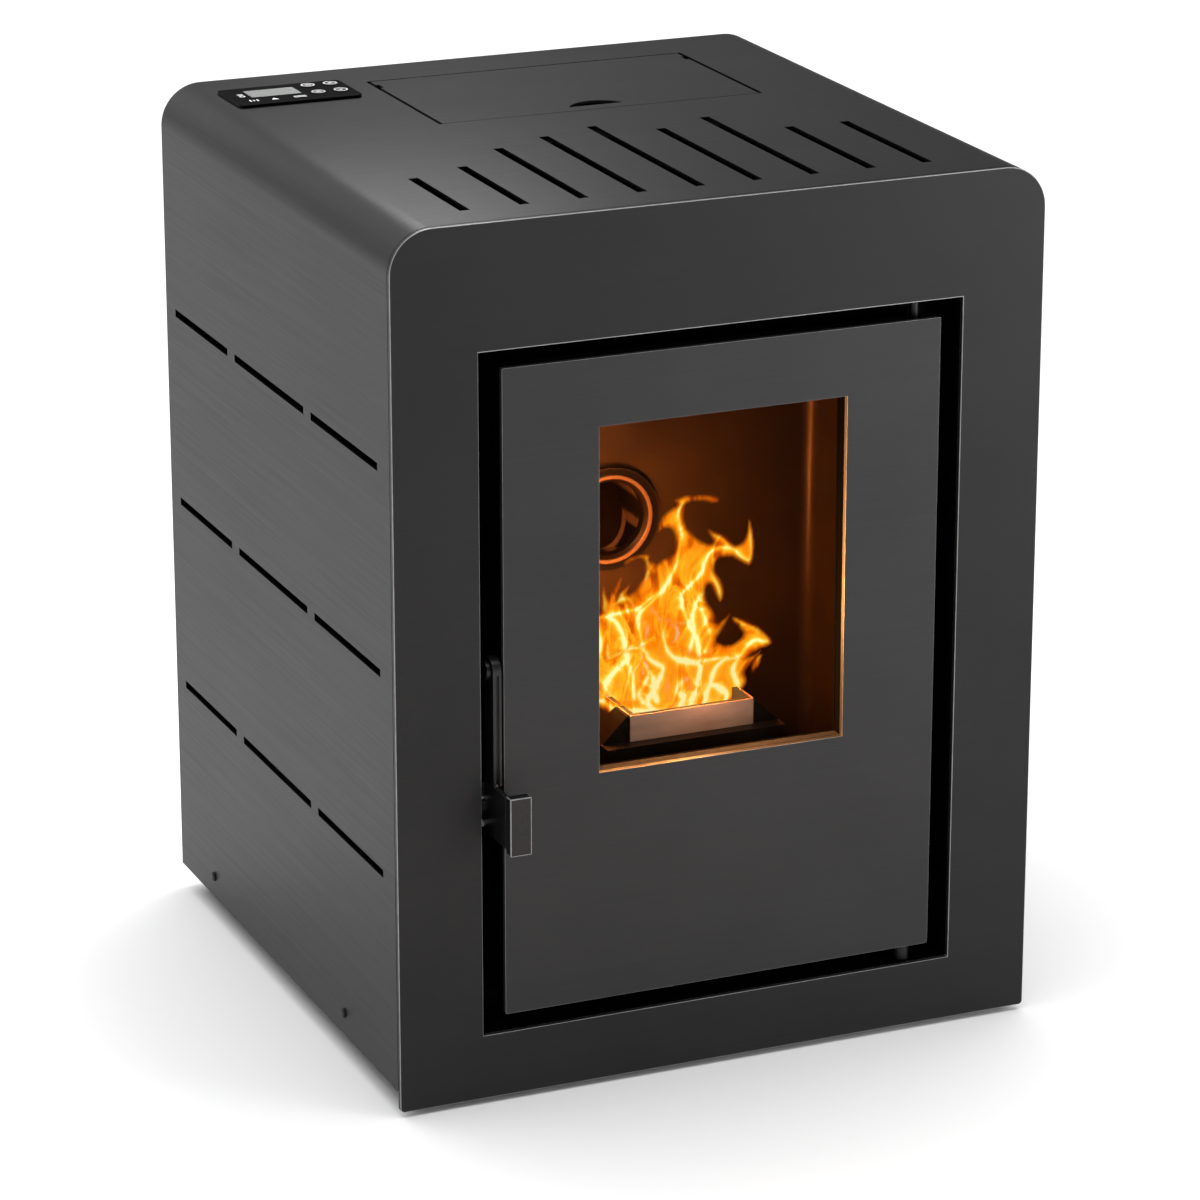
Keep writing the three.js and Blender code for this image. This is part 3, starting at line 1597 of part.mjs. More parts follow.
add("door_plate", makeDoorPlate(), casingPaint());
add("door_frame", makeDoorFrame(), blackPaint());
add("door_glass", makeGlass(), paint(0x1a1410, 0.05, 0));
add("glass_retainer", makeRetainer(), plainSteel());
add("door_rope_seal", makeRope(), paint(0x3b3a38, 1, 0));
add("door_hinge_pin_top", makeUpperHingePin(), plainSteel());
add("door_hinge_pin_bottom", makeLowerHingePin(), plainSteel());
add("handle_pivot_pin", makeLeverPin(), blackPaint());
add("handle_lever", makeLever(), blackPaint());
add("handle_grip", makeGrip(), casingPaint());
add("latch_keeper", makeKeeper(), plainSteel());

add("firebox", makeFirebox(), hotSteel());
add("baffle_plate", makeBaffle(), hotSteel());
add("firebox_stand", makeStand(), plainSteel());
add("burn_pot_holder", makeHolder(), hotSteel());
add("burn_pot", makeBurnPot(), paint(0x8a6450, 0.6, 0.5));
add("ash_pan", makeAshPan(), plainSteel());
add("air_intake_pipe", makeAirPipe(), plainSteel());
add("igniter", makeIgniter(), plainSteel());
add("pellet_chute", makeChute(), hotSteel());

add("auger_tube", makeAugerTube(), plainSteel());
add("auger_screw", makeAugerScrew(), plainSteel());
add("auger_gearmotor", makeGearmotor(), paint(0x6f7275, 0.5, 0.7));
add("hopper", makeHopper(), plainSteel());
add("hopper_guard", makeGuard(), plainSteel());
add("hopper_lid", makeLid(), casingPaint());
add("lid_bracket_left", makeLidBracket(-1), blackPaint());
add("lid_bracket_right", makeLidBracket(1), blackPaint());

add("flue_duct", makeFlueDuct(), plainSteel());
add("smoke_fan_housing", makeSmokeFanHousing(), plainSteel());
add(
  "smoke_fan_motor",
  makeFanMotor(
    smokeMotorRadius, smokeFanLeft - seat - smokeMotorLength, smokeFanLeft - seat,
    smokeFanY, smokeFanZ, true,
  ),
  paint(0x6f7275, 0.5, 0.7),
);
add("smoke_fan_impeller", makeSmokeImpeller(), plainSteel());
add("flue_spigot", makeSpigot(), blackPaint());

const blowerRight = blowerLeft + blowerWidth;
add("blower_housing", makeBlowerHousing(), plainSteel());
add(
  "blower_motor",
  makeFanMotor(
    blowerMotorRadius, blowerRight + seat, blowerRight + seat + blowerMotorLength,
    blowerY, blowerZ, false,
  ),
  paint(0x6f7275, 0.5, 0.7),
);
add("blower_wheel", makeBlowerWheel(), plainSteel());

add("control_panel", makeControlPanel(), blackPlastic());
add("panel_display", makeDisplay(), paint(0xb9b9b9, 0.2, 0));
const keyNames = ["key_1", "key_2", "key_3", "key_4"];
const keyPlaces = keyRows.toReversed().flatMap((y) => keyColumns.map((x) => [x, y]));
keyNames.forEach((name, index) => {
  add(name, makeKey(...keyPlaces[index]), paint(0xe8e8e8, 0.4, 0));
});
add("control_board", makeControlBoard(), blackPlastic());
add("power_inlet", makePowerInlet(), blackPlastic());
add("mains_switch", makeRocker(), blackPlastic());
add("overheat_thermostat", makeThermostat(), blackPlastic());
add("overheat_reset_button", makeResetButton(), paint(0x7c1c14, 0.4, 0));

export default stove;
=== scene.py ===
"""Looks of a small free-standing pellet stove with a lit fire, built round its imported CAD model."""

import json
import math
import random

import bmesh
import bpy
import numpy as np
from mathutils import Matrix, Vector


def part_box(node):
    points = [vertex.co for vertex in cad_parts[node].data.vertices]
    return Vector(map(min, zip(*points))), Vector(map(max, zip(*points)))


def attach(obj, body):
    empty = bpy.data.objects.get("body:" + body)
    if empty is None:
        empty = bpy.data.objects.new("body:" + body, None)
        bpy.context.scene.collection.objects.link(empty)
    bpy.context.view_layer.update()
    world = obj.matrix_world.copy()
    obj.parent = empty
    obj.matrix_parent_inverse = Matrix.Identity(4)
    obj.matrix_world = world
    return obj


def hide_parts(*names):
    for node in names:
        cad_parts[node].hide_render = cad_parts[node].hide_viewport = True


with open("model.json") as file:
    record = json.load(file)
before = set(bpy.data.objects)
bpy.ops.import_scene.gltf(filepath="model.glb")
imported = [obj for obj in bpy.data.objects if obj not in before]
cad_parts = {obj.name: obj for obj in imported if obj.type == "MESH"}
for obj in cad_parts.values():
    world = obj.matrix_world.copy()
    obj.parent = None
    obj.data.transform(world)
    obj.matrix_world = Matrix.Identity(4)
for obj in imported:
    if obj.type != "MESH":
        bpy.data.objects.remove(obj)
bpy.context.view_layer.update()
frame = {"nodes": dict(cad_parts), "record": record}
NODES = frame["nodes"]
MM = 0.001


def new_object(name, data):
    """A new object in the scene."""
    made = bpy.data.objects.new(name, data)
    bpy.context.scene.collection.objects.link(made)
    return made


# ---------------------------------------------------------------- camera

CAMERA_AZIMUTH = -23.2  # degrees; negative is to the left of the front
CAMERA_ELEVATION = 18.7
CAMERA_DISTANCE = 3.464
CAMERA_TARGET = Vector((0.011, -0.001, 0.2565))
CAMERA_LENS = 148.6  # mm
SENSOR_WIDTH = 36  # mm


def make_camera():
    azimuth = math.radians(CAMERA_AZIMUTH)
    elevation = math.radians(CAMERA_ELEVATION)
    towards = Vector((
        math.sin(azimuth) * math.cos(elevation),
        -math.cos(azimuth) * math.cos(elevation),
        math.sin(elevation),
    ))
    data = bpy.data.cameras.new("camera")
    data.sensor_width = SENSOR_WIDTH
    data.lens = CAMERA_LENS
    data.clip_end = 100
    camera = new_object("camera", data)
    camera.location = CAMERA_TARGET + CAMERA_DISTANCE * towards
    camera.rotation_euler = (-towards).to_track_quat("-Z", "Y").to_euler()
    bpy.context.scene.camera = camera


# ---------------------------------------------------------------- studio

FLOOR_SIZE = 60.0
FLOOR_WHITE = 0.93
WORLD_STRENGTH = 0.10
OVERHEAD_STRENGTH = 3.7
OVERHEAD_SPREAD = 86  # degrees
OVERHEAD_TILT = (-8, -2, 0)  # degrees about x, y and z
# Square panels of light: name, place, the point each faces, width in metres, power in watts.
PANELS = [
    ("left_panel", (-3.2, -0.6, 1.3), (0, 0, 0.35), 2.2, 6),
    ("right_front_panel", (1.1, -1.35, 0.5), (0.1, -0.2, 0.3), 0.7, 11),
    ("top_panel", (-0.05, 0.26, 0.98), (-0.05, 0.24, 0.6), 0.22, 3.6),
    ("rear_left_panel", (-1.0, 2.4, 1.4), (0, 0, 0.6), 1.6, 8),
]


def make_floor():
    half = FLOOR_SIZE / 2
    corners = [(-half, -half, 0), (half, -half, 0), (half, half, 0), (-half, half, 0)]
    mesh = bpy.data.meshes.new("floor")
    mesh.from_pydata(corners, [], [(0, 1, 2, 3)])
    floor = new_object("floor", mesh)
    white = Surface("floor_white").shade({
        "Base Color": rgba(FLOOR_WHITE), "Roughness": 0.9, "Specular IOR Level": 0.1,
    })
    mesh.materials.append(white)


def make_world():
    world = bpy.data.worlds.new("studio")
    world.use_nodes = True
    background = world.node_tree.nodes["Background"]
    background.inputs["Color"].default_value = (1, 1, 1, 1)
    background.inputs["Strength"].default_value = WORLD_STRENGTH
    bpy.context.scene.world = world


def make_overhead():
    """A wide soft sun, as from a large ceiling of light."""
    data = bpy.data.lights.new("overhead", "SUN")
    data.energy = OVERHEAD_STRENGTH
    data.angle = math.radians(OVERHEAD_SPREAD)
    new_object("overhead", data).rotation_euler = [math.radians(turn) for turn in OVERHEAD_TILT]


def area_light(name, place, target, size, power):
    data = bpy.data.lights.new(name, "AREA")
    data.shape = "SQUARE"
    data.size = size
    data.energy = power
    lamp = new_object(name, data)
    lamp.location = place
    aim = Vector(target) - Vector(place)
    lamp.rotation_euler = aim.to_track_quat("-Z", "Y").to_euler()


def make_studio():
    make_floor()
    make_world()
    make_overhead()
    for panel in PANELS:
        area_light(*panel)
    view = bpy.context.scene.view_settings
    view.view_transform = "Standard"
    view.look = "None"


# ---------------------------------------------------------------- building a material


def rgba(color):
    """Four channels from three, or from one grey number."""
    return ((color,) * 3 if isinstance(color, (int, float)) else tuple(color)) + (1,)


class Surface:
    """A material, with short ways to add nodes to it. An input is a value or another socket."""

    def __init__(self, name):
        self.material = bpy.data.materials.new(name)
        self.material.use_nodes = True
        self.tree = self.material.node_tree

    def fill(self, node, inputs):
        for key, value in inputs.items():
            if isinstance(value, bpy.types.NodeSocket):
                self.tree.links.new(value, node.inputs[key])
            else:
                node.inputs[key].default_value = value

    def add(self, kind, inputs=None, **settings):
        node = self.tree.nodes.new(kind)
        for key, value in settings.items():
            setattr(node, key, value)
        self.fill(node, inputs or {})
        return node

    def shade(self, inputs):
        """Set the shader's own inputs, and give the finished material."""
        self.fill(self.tree.nodes["Principled BSDF"], inputs)
        return self.material

    def place(self):
        return self.add("ShaderNodeTexCoord").outputs["Object"]

    def scaled_place(self, scale):
        inputs = {"Vector": self.place(), "Scale": scale}
        return self.add("ShaderNodeMapping", inputs).outputs["Vector"]

    def normal(self):
        return self.add("ShaderNodeNewGeometry").outputs["Normal"]

    def split(self, vector):
        """The X, Y and Z of a vector."""
        return self.add("ShaderNodeSeparateXYZ", {"Vector": vector}).outputs

    def compute(self, operation, *values, **settings):
        inputs = dict(enumerate(values))
        return self.add("ShaderNodeMath", inputs, operation=operation, **settings).outputs[0]

    def mix_values(self, factor, first, second):
        inputs = {0: factor, 2: first, 3: second}
        return self.add("ShaderNodeMix", inputs, data_type="FLOAT").outputs[0]

    def mix_colors(self, factor, first, second, blend_type="MIX"):
        inputs = {0: factor, 6: first, 7: second}
        return self.add("ShaderNodeMix", inputs, data_type="RGBA", blend_type=blend_type).outputs[2]

    def ramp(self, factor, stops):
        """A colour ramp from (position, colour) stops; a colour may be one grey number."""
        node = self.add("ShaderNodeValToRGB", {"Fac": factor})
        elements = node.color_ramp.elements
        while len(elements) > 1:
            elements.remove(elements[-1])
        for index, (position, color) in enumerate(stops):
            element = elements[0] if index == 0 else elements.new(position)
            element.position = position
            element.color = rgba(color)
        return node.outputs["Color"]

    def noise(self, scale, detail, vector=None, roughness=0.5, distortion=0.0):
        return self.add("ShaderNodeTexNoise", {
            "Vector": vector or self.place(),
            "Scale": scale,
            "Detail": detail,
            "Roughness": roughness,
            "Distortion": distortion,
        }).outputs["Fac"]

    def bump(self, height, strength, distance):
        inputs = {"Height": height, "Strength": strength, "Distance": distance}
        return self.add("ShaderNodeBump", inputs).outputs["Normal"]


# ---------------------------------------------------------------- materials

ANTHRACITE = (0.0205, 0.0205, 0.0208)
DOOR_ANTHRACITE = (0.0335, 0.0335, 0.0339)
PAINT_ROUGHNESS = 0.42
SOOT = (0.002, 0.001, 0.0006)

LEVEL = 0.7  # a face is level where its normal's upward part is more than this
ALONG = 0.3  # and runs along an axis where its normal's part on that axis is less than this

SHEET_DEPTH = 2.2 * MM  # how far below the outer face the cut edges of the casing sheet reach
FLANGE_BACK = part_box("firebox")[0][1] + 3.5 * MM  # behind the flange that the door shuts on
POT_SKIN = 0.6 * MM  # how far behind the pot's outer faces its soot begins
CHUTE_RING = 37 * MM  # outside radius of the ring round the chute's mouth
CHUTE_LIP = 31 * MM
# Tones across the chute's mouth: the dark tube, its lip lighter as a painted highlight, the black ring
# and its outer rim lighter as a painted highlight.
CHUTE_TONES = [
    (0.0, (0.004, 0.002, 0.001)), (0.15, (0.005, 0.0025, 0.001)),
    (0.22, (0.06, 0.03, 0.016)), (0.38, (0.06, 0.03, 0.016)),
    (0.45, SOOT), (0.86, (0.0025, 0.0015, 0.001)), (0.90, (0.03, 0.015, 0.008)),
]


def grained(name, low, high, roughness, grain, relief, inputs=None):
    """A plain surface. Grain is its scale and detail; relief is the bump's strength and depth."""
    surface = Surface(name)
    height = surface.noise(*grain)
    return surface.shade({
        "Base Color": surface.ramp(height, [(0.3, low), (0.7, high)]),
        "Roughness": roughness,
        "Normal": surface.bump(height, *relief),
        **(inputs or {}),
    })


def brushed_streaks(surface):
    """Fine streaks: level ones on upright faces, and across the stove on level ones."""
    upright = surface.noise(1.0, 5, surface.scaled_place((7, 7, 1400)), 0.62)
    level = surface.noise(1.0, 5, surface.scaled_place((7, 1400, 7)), 0.62)
    up = surface.compute("ABSOLUTE", surface.split(surface.normal())["Z"])
    return surface.mix_values(surface.compute("GREATER_THAN", up, LEVEL), upright, level)


def slot_shade_mask(surface):
    """One on the cut edges inside the casing's top sheet and side sheets, which take painted shade, and
    nothing elsewhere.
    """
    side, _, top = (outer - SHEET_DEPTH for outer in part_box("casing")[1])
    place = surface.split(surface.place())
    normal = surface.split(surface.normal())
    masks = []
    for reach, limit, facing in (
        (place["Z"], top, normal["Z"]),
        (surface.compute("ABSOLUTE", place["X"]), side, normal["X"]),
    ):
        within = surface.compute("GREATER_THAN", reach, limit)
        cut = surface.compute("LESS_THAN", surface.compute("ABSOLUTE", facing), ALONG)
        masks.append(surface.compute("MULTIPLY", within, cut))
    return surface.compute("MAXIMUM", *masks)


def anthracite(name, tint, shaded_slot_cuts=False):
    """Satin anthracite paint over finely brushed sheet, with a faint cloudiness."""
    surface = Surface(name)
    streaks = brushed_streaks(surface)
    low, high = (tuple(channel * share for channel in tint) for share in (0.90, 1.10))
    brushed = surface.ramp(streaks, [(0.25, low), (0.75, high)])
    clouds = surface.ramp(surface.noise(9.0, 5, roughness=0.6), [(0.25, 0.9), (0.75, 1.08)])
    color = surface.mix_colors(1, brushed, clouds, "MULTIPLY")
    if shaded_slot_cuts:
        # Painted shade: the cut edges inside the casing's slots turned near black, as if in shadow.
        color = surface.mix_colors(slot_shade_mask(surface), color, rgba(0.001))
    gloss = [(0.2, PAINT_ROUGHNESS - 0.06), (0.8, PAINT_ROUGHNESS + 0.08)]
    return surface.shade({
        "Base Color": color,
        "Roughness": surface.ramp(streaks, gloss),
        "Metallic": 0.35,
        "Specular IOR Level": 0.15,
        "Normal": surface.bump(streaks, 0.05, 0.4 * MM),
    })


def edge_highlight():
    """A painted highlight: the bright line along the rounded edges of the sheets."""
    surface = Surface("edge_highlight")
    highlight = surface.ramp(surface.noise(160.0, 3), [(0.2, 0.20), (0.8, 0.34)])
    return surface.shade({"Base Color": highlight, "Metallic": 0.3, "Roughness": 0.4})


def black_paint(name, low, high, roughness, gloss):
    """Heat-resistant paint with a fine grain."""
    relief = (0.15, 0.2 * MM)
    return grained(name, low, high, roughness, (900.0, 3), relief, {"Specular IOR Level": gloss})


def dark_steel(name, tone, roughness):
    """Blackened steel, a little uneven in tone."""
    relief = (0.1, 0.2 * MM)
    return grained(name, tone * 0.8, tone * 1.2, roughness, (700.0, 3), relief, {"Metallic": 0.5})


def moulded(name, low, high, roughness):
    """Moulded rubber or plastic with a fine spark-eroded grain."""
    return grained(name, low, high, roughness, (1100.0, 3), (0.12, 0.15 * MM))


def motor_grey():
    """Bare grey metal of the motor housings."""
    return grained("motor_grey", 0.18, 0.26, 0.45, (260.0, 4), (0.15, 0.3 * MM), {"Metallic": 0.7})


def galvanised():
    """Zinc-coated sheet with its patchy spangle."""
    surface = Surface("plain_steel")
    cells = surface.add("ShaderNodeTexVoronoi", {"Scale": 120.0}, feature="F1")
    tone = surface.add("ShaderNodeSeparateColor", {"Color": cells.outputs["Color"]}).outputs["Red"]
    return surface.shade({
        "Base Color": surface.ramp(tone, [(0.0, 0.34), (1.0, 0.5)]),
        "Roughness": surface.ramp(tone, [(0.0, 0.3), (1.0, 0.42)]),
        "Metallic": 0.9,
    })


def fire_steel():
    """Firebox sheet: dark paint with rusty patches, and painted shade: plain black on the flange at its
    front, so the gap round the door stays dark.
    """
    surface = Surface("fire_steel")
    patches = surface.noise(16.0, 6, roughness=0.65)
    rusty = surface.ramp(patches, [(0.3, (0.008, 0.0041, 0.0018)), (0.7, (0.014, 0.0073, 0.0032))])
    # Painted shade: everything in front of FLANGE_BACK is black.
    behind = surface.compute("GREATER_THAN", surface.split(surface.place())["Y"], FLANGE_BACK)
    return surface.shade({
        "Base Color": surface.mix_colors(behind, rgba(0.001), rusty),
        "Roughness": surface.ramp(patches, [(0.2, 0.30), (0.8, 0.40)]),
        "Metallic": 0.5,
        "Specular IOR Level": 0.02,
        "Normal": surface.bump(surface.noise(420.0, 4), 0.12, 0.3 * MM),
    })


def chute_steel():
    """Blackened ring round the chute's mouth, with painted highlights on the tube's lip inside it and
    on the ring's outer rim.
    """
    surface = Surface("chute_steel")
    low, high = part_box("pellet_chute")
    middle = ((low[0] + high[0]) / 2, 0, low[2] + CHUTE_RING)
    flat = surface.add(
        "ShaderNodeVectorMath", {0: surface.place(), 1: (1, 0, 1)}, operation="MULTIPLY"
    ).outputs[0]
    away = surface.add(
        "ShaderNodeVectorMath", {0: flat, 1: middle}, operation="DISTANCE"
    ).outputs["Value"]
    grain = surface.noise(500.0, 3)
    ragged = surface.compute("MULTIPLY_ADD", grain, 0.6 * MM, -0.3 * MM)
    across = surface.add("ShaderNodeMapRange", {
        "Value": surface.compute("ADD", away, ragged),
        "From Min": CHUTE_LIP - 4 * MM,
        "From Max": CHUTE_RING + MM,
    }).outputs[0]
    return surface.shade({
        "Base Color": surface.ramp(across, CHUTE_TONES),
        "Metallic": 0.6,
        "Specular IOR Level": 0.05,
        "Roughness": 0.4,
        "Normal": surface.bump(grain, 0.08, 0.2 * MM),
    })


def frame_black():
    """The door's inner frame: matt black on its upright faces, as painted shade, and painted light on
    its level sill, a lighter grey as if lit from above.
    """
    surface = Surface("frame_black")
    grain = surface.noise(300.0, 4)
    lit_sill_grey = surface.ramp(grain, [(0.3, 0.015), (0.7, 0.025)])
    # Painted light: faces whose normal points up are lighter than the rest.
    level_faces = surface.compute("GREATER_THAN", surface.split(surface.normal())["Z"], LEVEL)
    return surface.shade({
        "Base Color": surface.mix_colors(level_faces, rgba(0.002), lit_sill_grey),
        "Specular IOR Level": 0,
        "Roughness": 0.6,
        "Normal": surface.bump(grain, 0.1, 0.2 * MM),
    })


def pot_steel():
    """Stainless steel, heat-tinted to a pale copper brown outside and sooty inside the pot."""
    surface = Surface("pot_steel")
    tint = surface.noise(24.0, 5, surface.scaled_place((1, 1, 3)), 0.6)
    bare = surface.ramp(tint, [(0.3, (0.26, 0.145, 0.09)), (0.7, (0.38, 0.23, 0.15))])
    low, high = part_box("burn_pot")
    place = surface.split(surface.place())
    inside = []
    for axis in (0, 1):
        middle = (low[axis] + high[axis]) / 2
        half = (high[axis] - low[axis]) / 2 - POT_SKIN
        away = surface.compute("ABSOLUTE", surface.compute("SUBTRACT", place[axis], middle))
        inside.append(surface.compute("LESS_THAN", away, half))
    sooty = surface.compute("MULTIPLY", *inside)
    return surface.shade({
        "Base Color": surface.mix_colors(sooty, bare, rgba(SOOT)),
        "Metallic": 0.45,
        "Roughness": 0.5,
        "Normal": surface.bump(surface.noise(600.0, 3), 0.08, 0.2 * MM),
    })


def stove_glass():
    """Clear glass ceramic with a faint warm film."""
    surface = Surface("stove_glass")
    surface.material.surface_render_method = "BLENDED"
    return surface.shade({
        "Base Color": rgba((0.05, 0.035, 0.025)),
        "Roughness": 0.04,
        "Alpha": surface.ramp(surface.noise(14.0, 3), [(0.3, 0.002), (0.7, 0.008)]),
    })


def rope_fibre():
    """Grey glass fibre yarn with darker gaps."""
    surface = Surface("rope_fibre")
    yarn = surface.noise(380.0, 4, roughness=0.7)
    return surface.shade({
        "Base Color": surface.ramp(yarn, [(0.3, (0.05, 0.048, 0.044)), (0.7, (0.17, 0.165, 0.15))]),
        "Roughness": 0.95,
        "Normal": surface.bump(yarn, 0.5, 0.6 * MM),
    })


def display_glass():
    """A small unlit reflective display with faint rows."""
    surface = Surface("display")
    rows = surface.add(
        "ShaderNodeTexWave", {"Vector": surface.place(), "Scale": 420.0}, bands_direction="Y"
    ).outputs["Fac"]
    blend = surface.mix_values(surface.noise(60.0, 2), rows, 0.5)
    greys = [(0.2, (0.13, 0.133, 0.13)), (0.8, (0.24, 0.245, 0.24))]
    return surface.shade({
        "Base Color": surface.ramp(blend, greys),
        "Roughness": 0.25,
        "Coat Weight": 0.5,
    })


def printed_white():
    """The ink of the signs, slightly uneven."""
    surface = Surface("printed_white")
    ink = surface.ramp(surface.noise(3000.0, 2), [(0.3, 0.42), (0.7, 0.52)])
    return surface.shade({"Base Color": ink, "Roughness": 0.5})


def flame_material(name, seed, strength):
    """Glow from the sheet's own attributes: body gives the soft outline, core the bright strands."""
    surface = Surface(name)
    surface.material.surface_render_method = "BLENDED"
    body = surface.add("ShaderNodeAttribute", attribute_name="body").outputs["Fac"]
    core = surface.add("ShaderNodeAttribute", attribute_name="core").outputs["Fac"]
    moved = {"Vector": surface.place(), "Location": (seed, 0, 0), "Scale": (1, 1, 0.5)}
    shifted = surface.add("ShaderNodeMapping", moved).outputs["Vector"]
    licks = surface.noise(55.0, 3, shifted, distortion=1.2)
    centred = surface.compute("SUBTRACT", licks, 0.5)
    away = surface.compute("ABSOLUTE", centred)
    thin = surface.compute("MULTIPLY_ADD", away, -9.0, 1.0, use_clamp=True)
    wisps = surface.compute("MULTIPLY", thin, 0.30)
    waves = surface.compute("MULTIPLY", centred, 0.9)
    heat = surface.compute("ADD", surface.compute("ADD", core, wisps), waves)
    color = surface.ramp(heat, [
        (0.0, (0.55, 0.055, 0.0)),
        (0.22, (0.88, 0.14, 0.0)),
        (0.45, (1.0, 0.25, 0.003)),
        (0.68, (1.0, 0.42, 0.012)),
        (0.88, (1.0, 0.68, 0.10)),
        (1.0, (1.0, 0.86, 0.36)),
    ])
    veil = surface.ramp(heat, [(0.0, 0.35), (0.35, 0.85), (0.6, 1.0)])
    return surface.shade({
        "Emission Color": color,
        "Emission Strength": strength,
        "Base Color": rgba(0),
        "Specular IOR Level": 0,
        "Roughness": 1,
        "Alpha": surface.compute("MULTIPLY", veil, body),
    })


def ember_material():
    """Burning pellets: glowing cracks in dark char."""
    surface = Surface("embers")
    glow = surface.ramp(surface.noise(130.0, 4, roughness=0.6), [
        (0.38, (0.10, 0.008, 0.0)),
        (0.5, (0.9, 0.16, 0.01)),
        (0.62, (1.0, 0.55, 0.10)),
    ])
    return surface.shade({
        "Emission Color": glow,
        "Emission Strength": 0.9,
        "Base Color": rgba((0.03, 0.02, 0.015)),
        "Roughness": 0.9,
    })


def make_materials():
    return {
        "anthracite_paint": anthracite("anthracite_paint", ANTHRACITE),
        "casing_paint": anthracite("casing_paint", ANTHRACITE, shaded_slot_cuts=True),
        "door_paint": anthracite("door_paint", DOOR_ANTHRACITE),
        "frame_black": frame_black(),
        "chute_steel": chute_steel(),
        "panel_black": black_paint("panel_black", 0.0005, 0.001, 0.25, 0.06),
        "handle_black": dark_steel("handle_black", 0.012, 0.34),
        "hinge_steel": dark_steel("hinge_steel", 0.012, 0.4),
        "edge_highlight": edge_highlight(),
        "black_paint": black_paint("black_paint", 0.008, 0.016, 0.5, 0.4),
        # Painted shade: near-black matt paint for parts seen only in shadow, round the door opening and
        # through the top slots.
        "shade_black": black_paint("shade_black", 0.001, 0.003, 0.8, 0.0),
        "plain_steel": galvanised(),
        "fire_steel": fire_steel(),
        "pot_steel": pot_steel(),
        "stove_glass": stove_glass(),
        "rope": rope_fibre(),
        "rubber": moulded("rubber", 0.008, 0.018, 0.8),
        "motor_grey": motor_grey(),
        "black_plastic": moulded("black_plastic", 0.006, 0.011, 0.28),
        "display": display_glass(),
        "keys": black_paint("keys", 0.001, 0.002, 0.35, 0.1),
        "reset_red": moulded("reset_red", (0.20, 0.012, 0.01), (0.30, 0.02, 0.015), 0.4),
        "printed_white": printed_white(),
        "embers": ember_material(),
    }


# ---------------------------------------------------------------- finishing the CAD nodes

KEY_NAMES = [f"key_{number}" for number in range(1, 5)]
# Widths of the rounded edges in mm. Those in the first table also show a painted highlight.
HIGHLIGHT_EDGES = {"front_plate": 0.9, "door_plate": 0.9, "handle_grip": 0.7, "handle_lever": 0.6}
SOFT_EDGES = {
    "casing": 0.4, "hopper_lid": 0.3, "control_panel": 0.5, "door_frame": 0.4, "burn_pot": 0.5,
    "burn_pot_holder": 0.5, "firebox": 0.4, "rear_panel": 0.3, "flue_spigot": 0.4,
    "power_inlet": 0.3, "mains_switch": 0.4, "pellet_chute": 0.6, "ash_pan": 0.3,
    "glass_retainer": 0.3, "handle_pivot_pin": 0.4, "baffle_plate": 0.4, "hopper": 0.3,
    "opening_surround": 0.3, **dict.fromkeys(KEY_NAMES, 0.35),
}
SHARP_ANGLE = 40  # degrees; edges sharper than this are rounded
SMOOTH_ANGLE = 30  # degrees; edges flatter than this are shaded smooth
FLAT_ANGLE = 1  # degrees; faces flatter to each other than this become one
WELD_REACH = 0.01 * MM
# The nodes whose paint isn't the one of their slot.
OWN_PAINT = {
    "casing": "casing_paint",
    "door_plate": "door_paint",
    "door_frame": "frame_black",
    # Painted shade on the parts round the door opening.
    "glass_retainer": "shade_black",
    "opening_surround": "shade_black",
    "handle_grip": "handle_black",
    "handle_lever": "handle_black",
    "handle_pivot_pin": "handle_black",
    "door_hinge_pin_top": "hinge_steel",
    "door_hinge_pin_bottom": "hinge_steel",
    "pellet_chute": "chute_steel",
    "control_panel": "panel_black",
    # Painted shade: the hopper, seen through the top slots.
    "hopper": "shade_black",
    "hopper_guard": "black_paint",
}


def smooth_group():
    """Smooth shading over every edge that is flatter than SMOOTH_ANGLE."""
    group = bpy.data.node_groups.new("smooth_by_angle", "GeometryNodeTree")
    for direction in ("INPUT", "OUTPUT"):
        group.interface.new_socket(
            "Geometry", in_out=direction, socket_type="NodeSocketGeometry"
        )
    source = group.nodes.new("NodeGroupInput")
    target = group.nodes.new("NodeGroupOutput")
    faces = group.nodes.new("GeometryNodeSetShadeSmooth")
    faces.domain = "FACE"
    edges = group.nodes.new("GeometryNodeSetShadeSmooth")
    edges.domain = "EDGE"
    angle = group.nodes.new("GeometryNodeInputMeshEdgeAngle")
    flatter = group.nodes.new("FunctionNodeCompare")
    flatter.operation = "LESS_THAN"
    flatter.inputs[1].default_value = math.radians(SMOOTH_ANGLE)
    link = group.links.new
    link(source.outputs[0], faces.inputs["Geometry"])
    link(faces.outputs[0], edges.inputs["Geometry"])
    link(angle.outputs["Unsigned Angle"], flatter.inputs[0])
    link(flatter.outputs[0], edges.inputs["Shade Smooth"])
    link(edges.outputs[0], target.inputs[0])
    return group


def round_edges(node, width, material):
    """Bevel a node's sharp edges, with a material slot for the bevels, or -1 for none."""
    node.modifiers.new("weld", "WELD").merge_threshold = WELD_REACH
    planar = node.modifiers.new("planar", "DECIMATE")
    planar.decimate_type = "DISSOLVE"
    planar.angle_limit = math.radians(FLAT_ANGLE)
    bevel = node.modifiers.new("edges", "BEVEL")
    bevel.width = width * MM
    bevel.segments = 2
    bevel.limit_method = "ANGLE"
    bevel.angle_limit = math.radians(SHARP_ANGLE)
    bevel.material = material


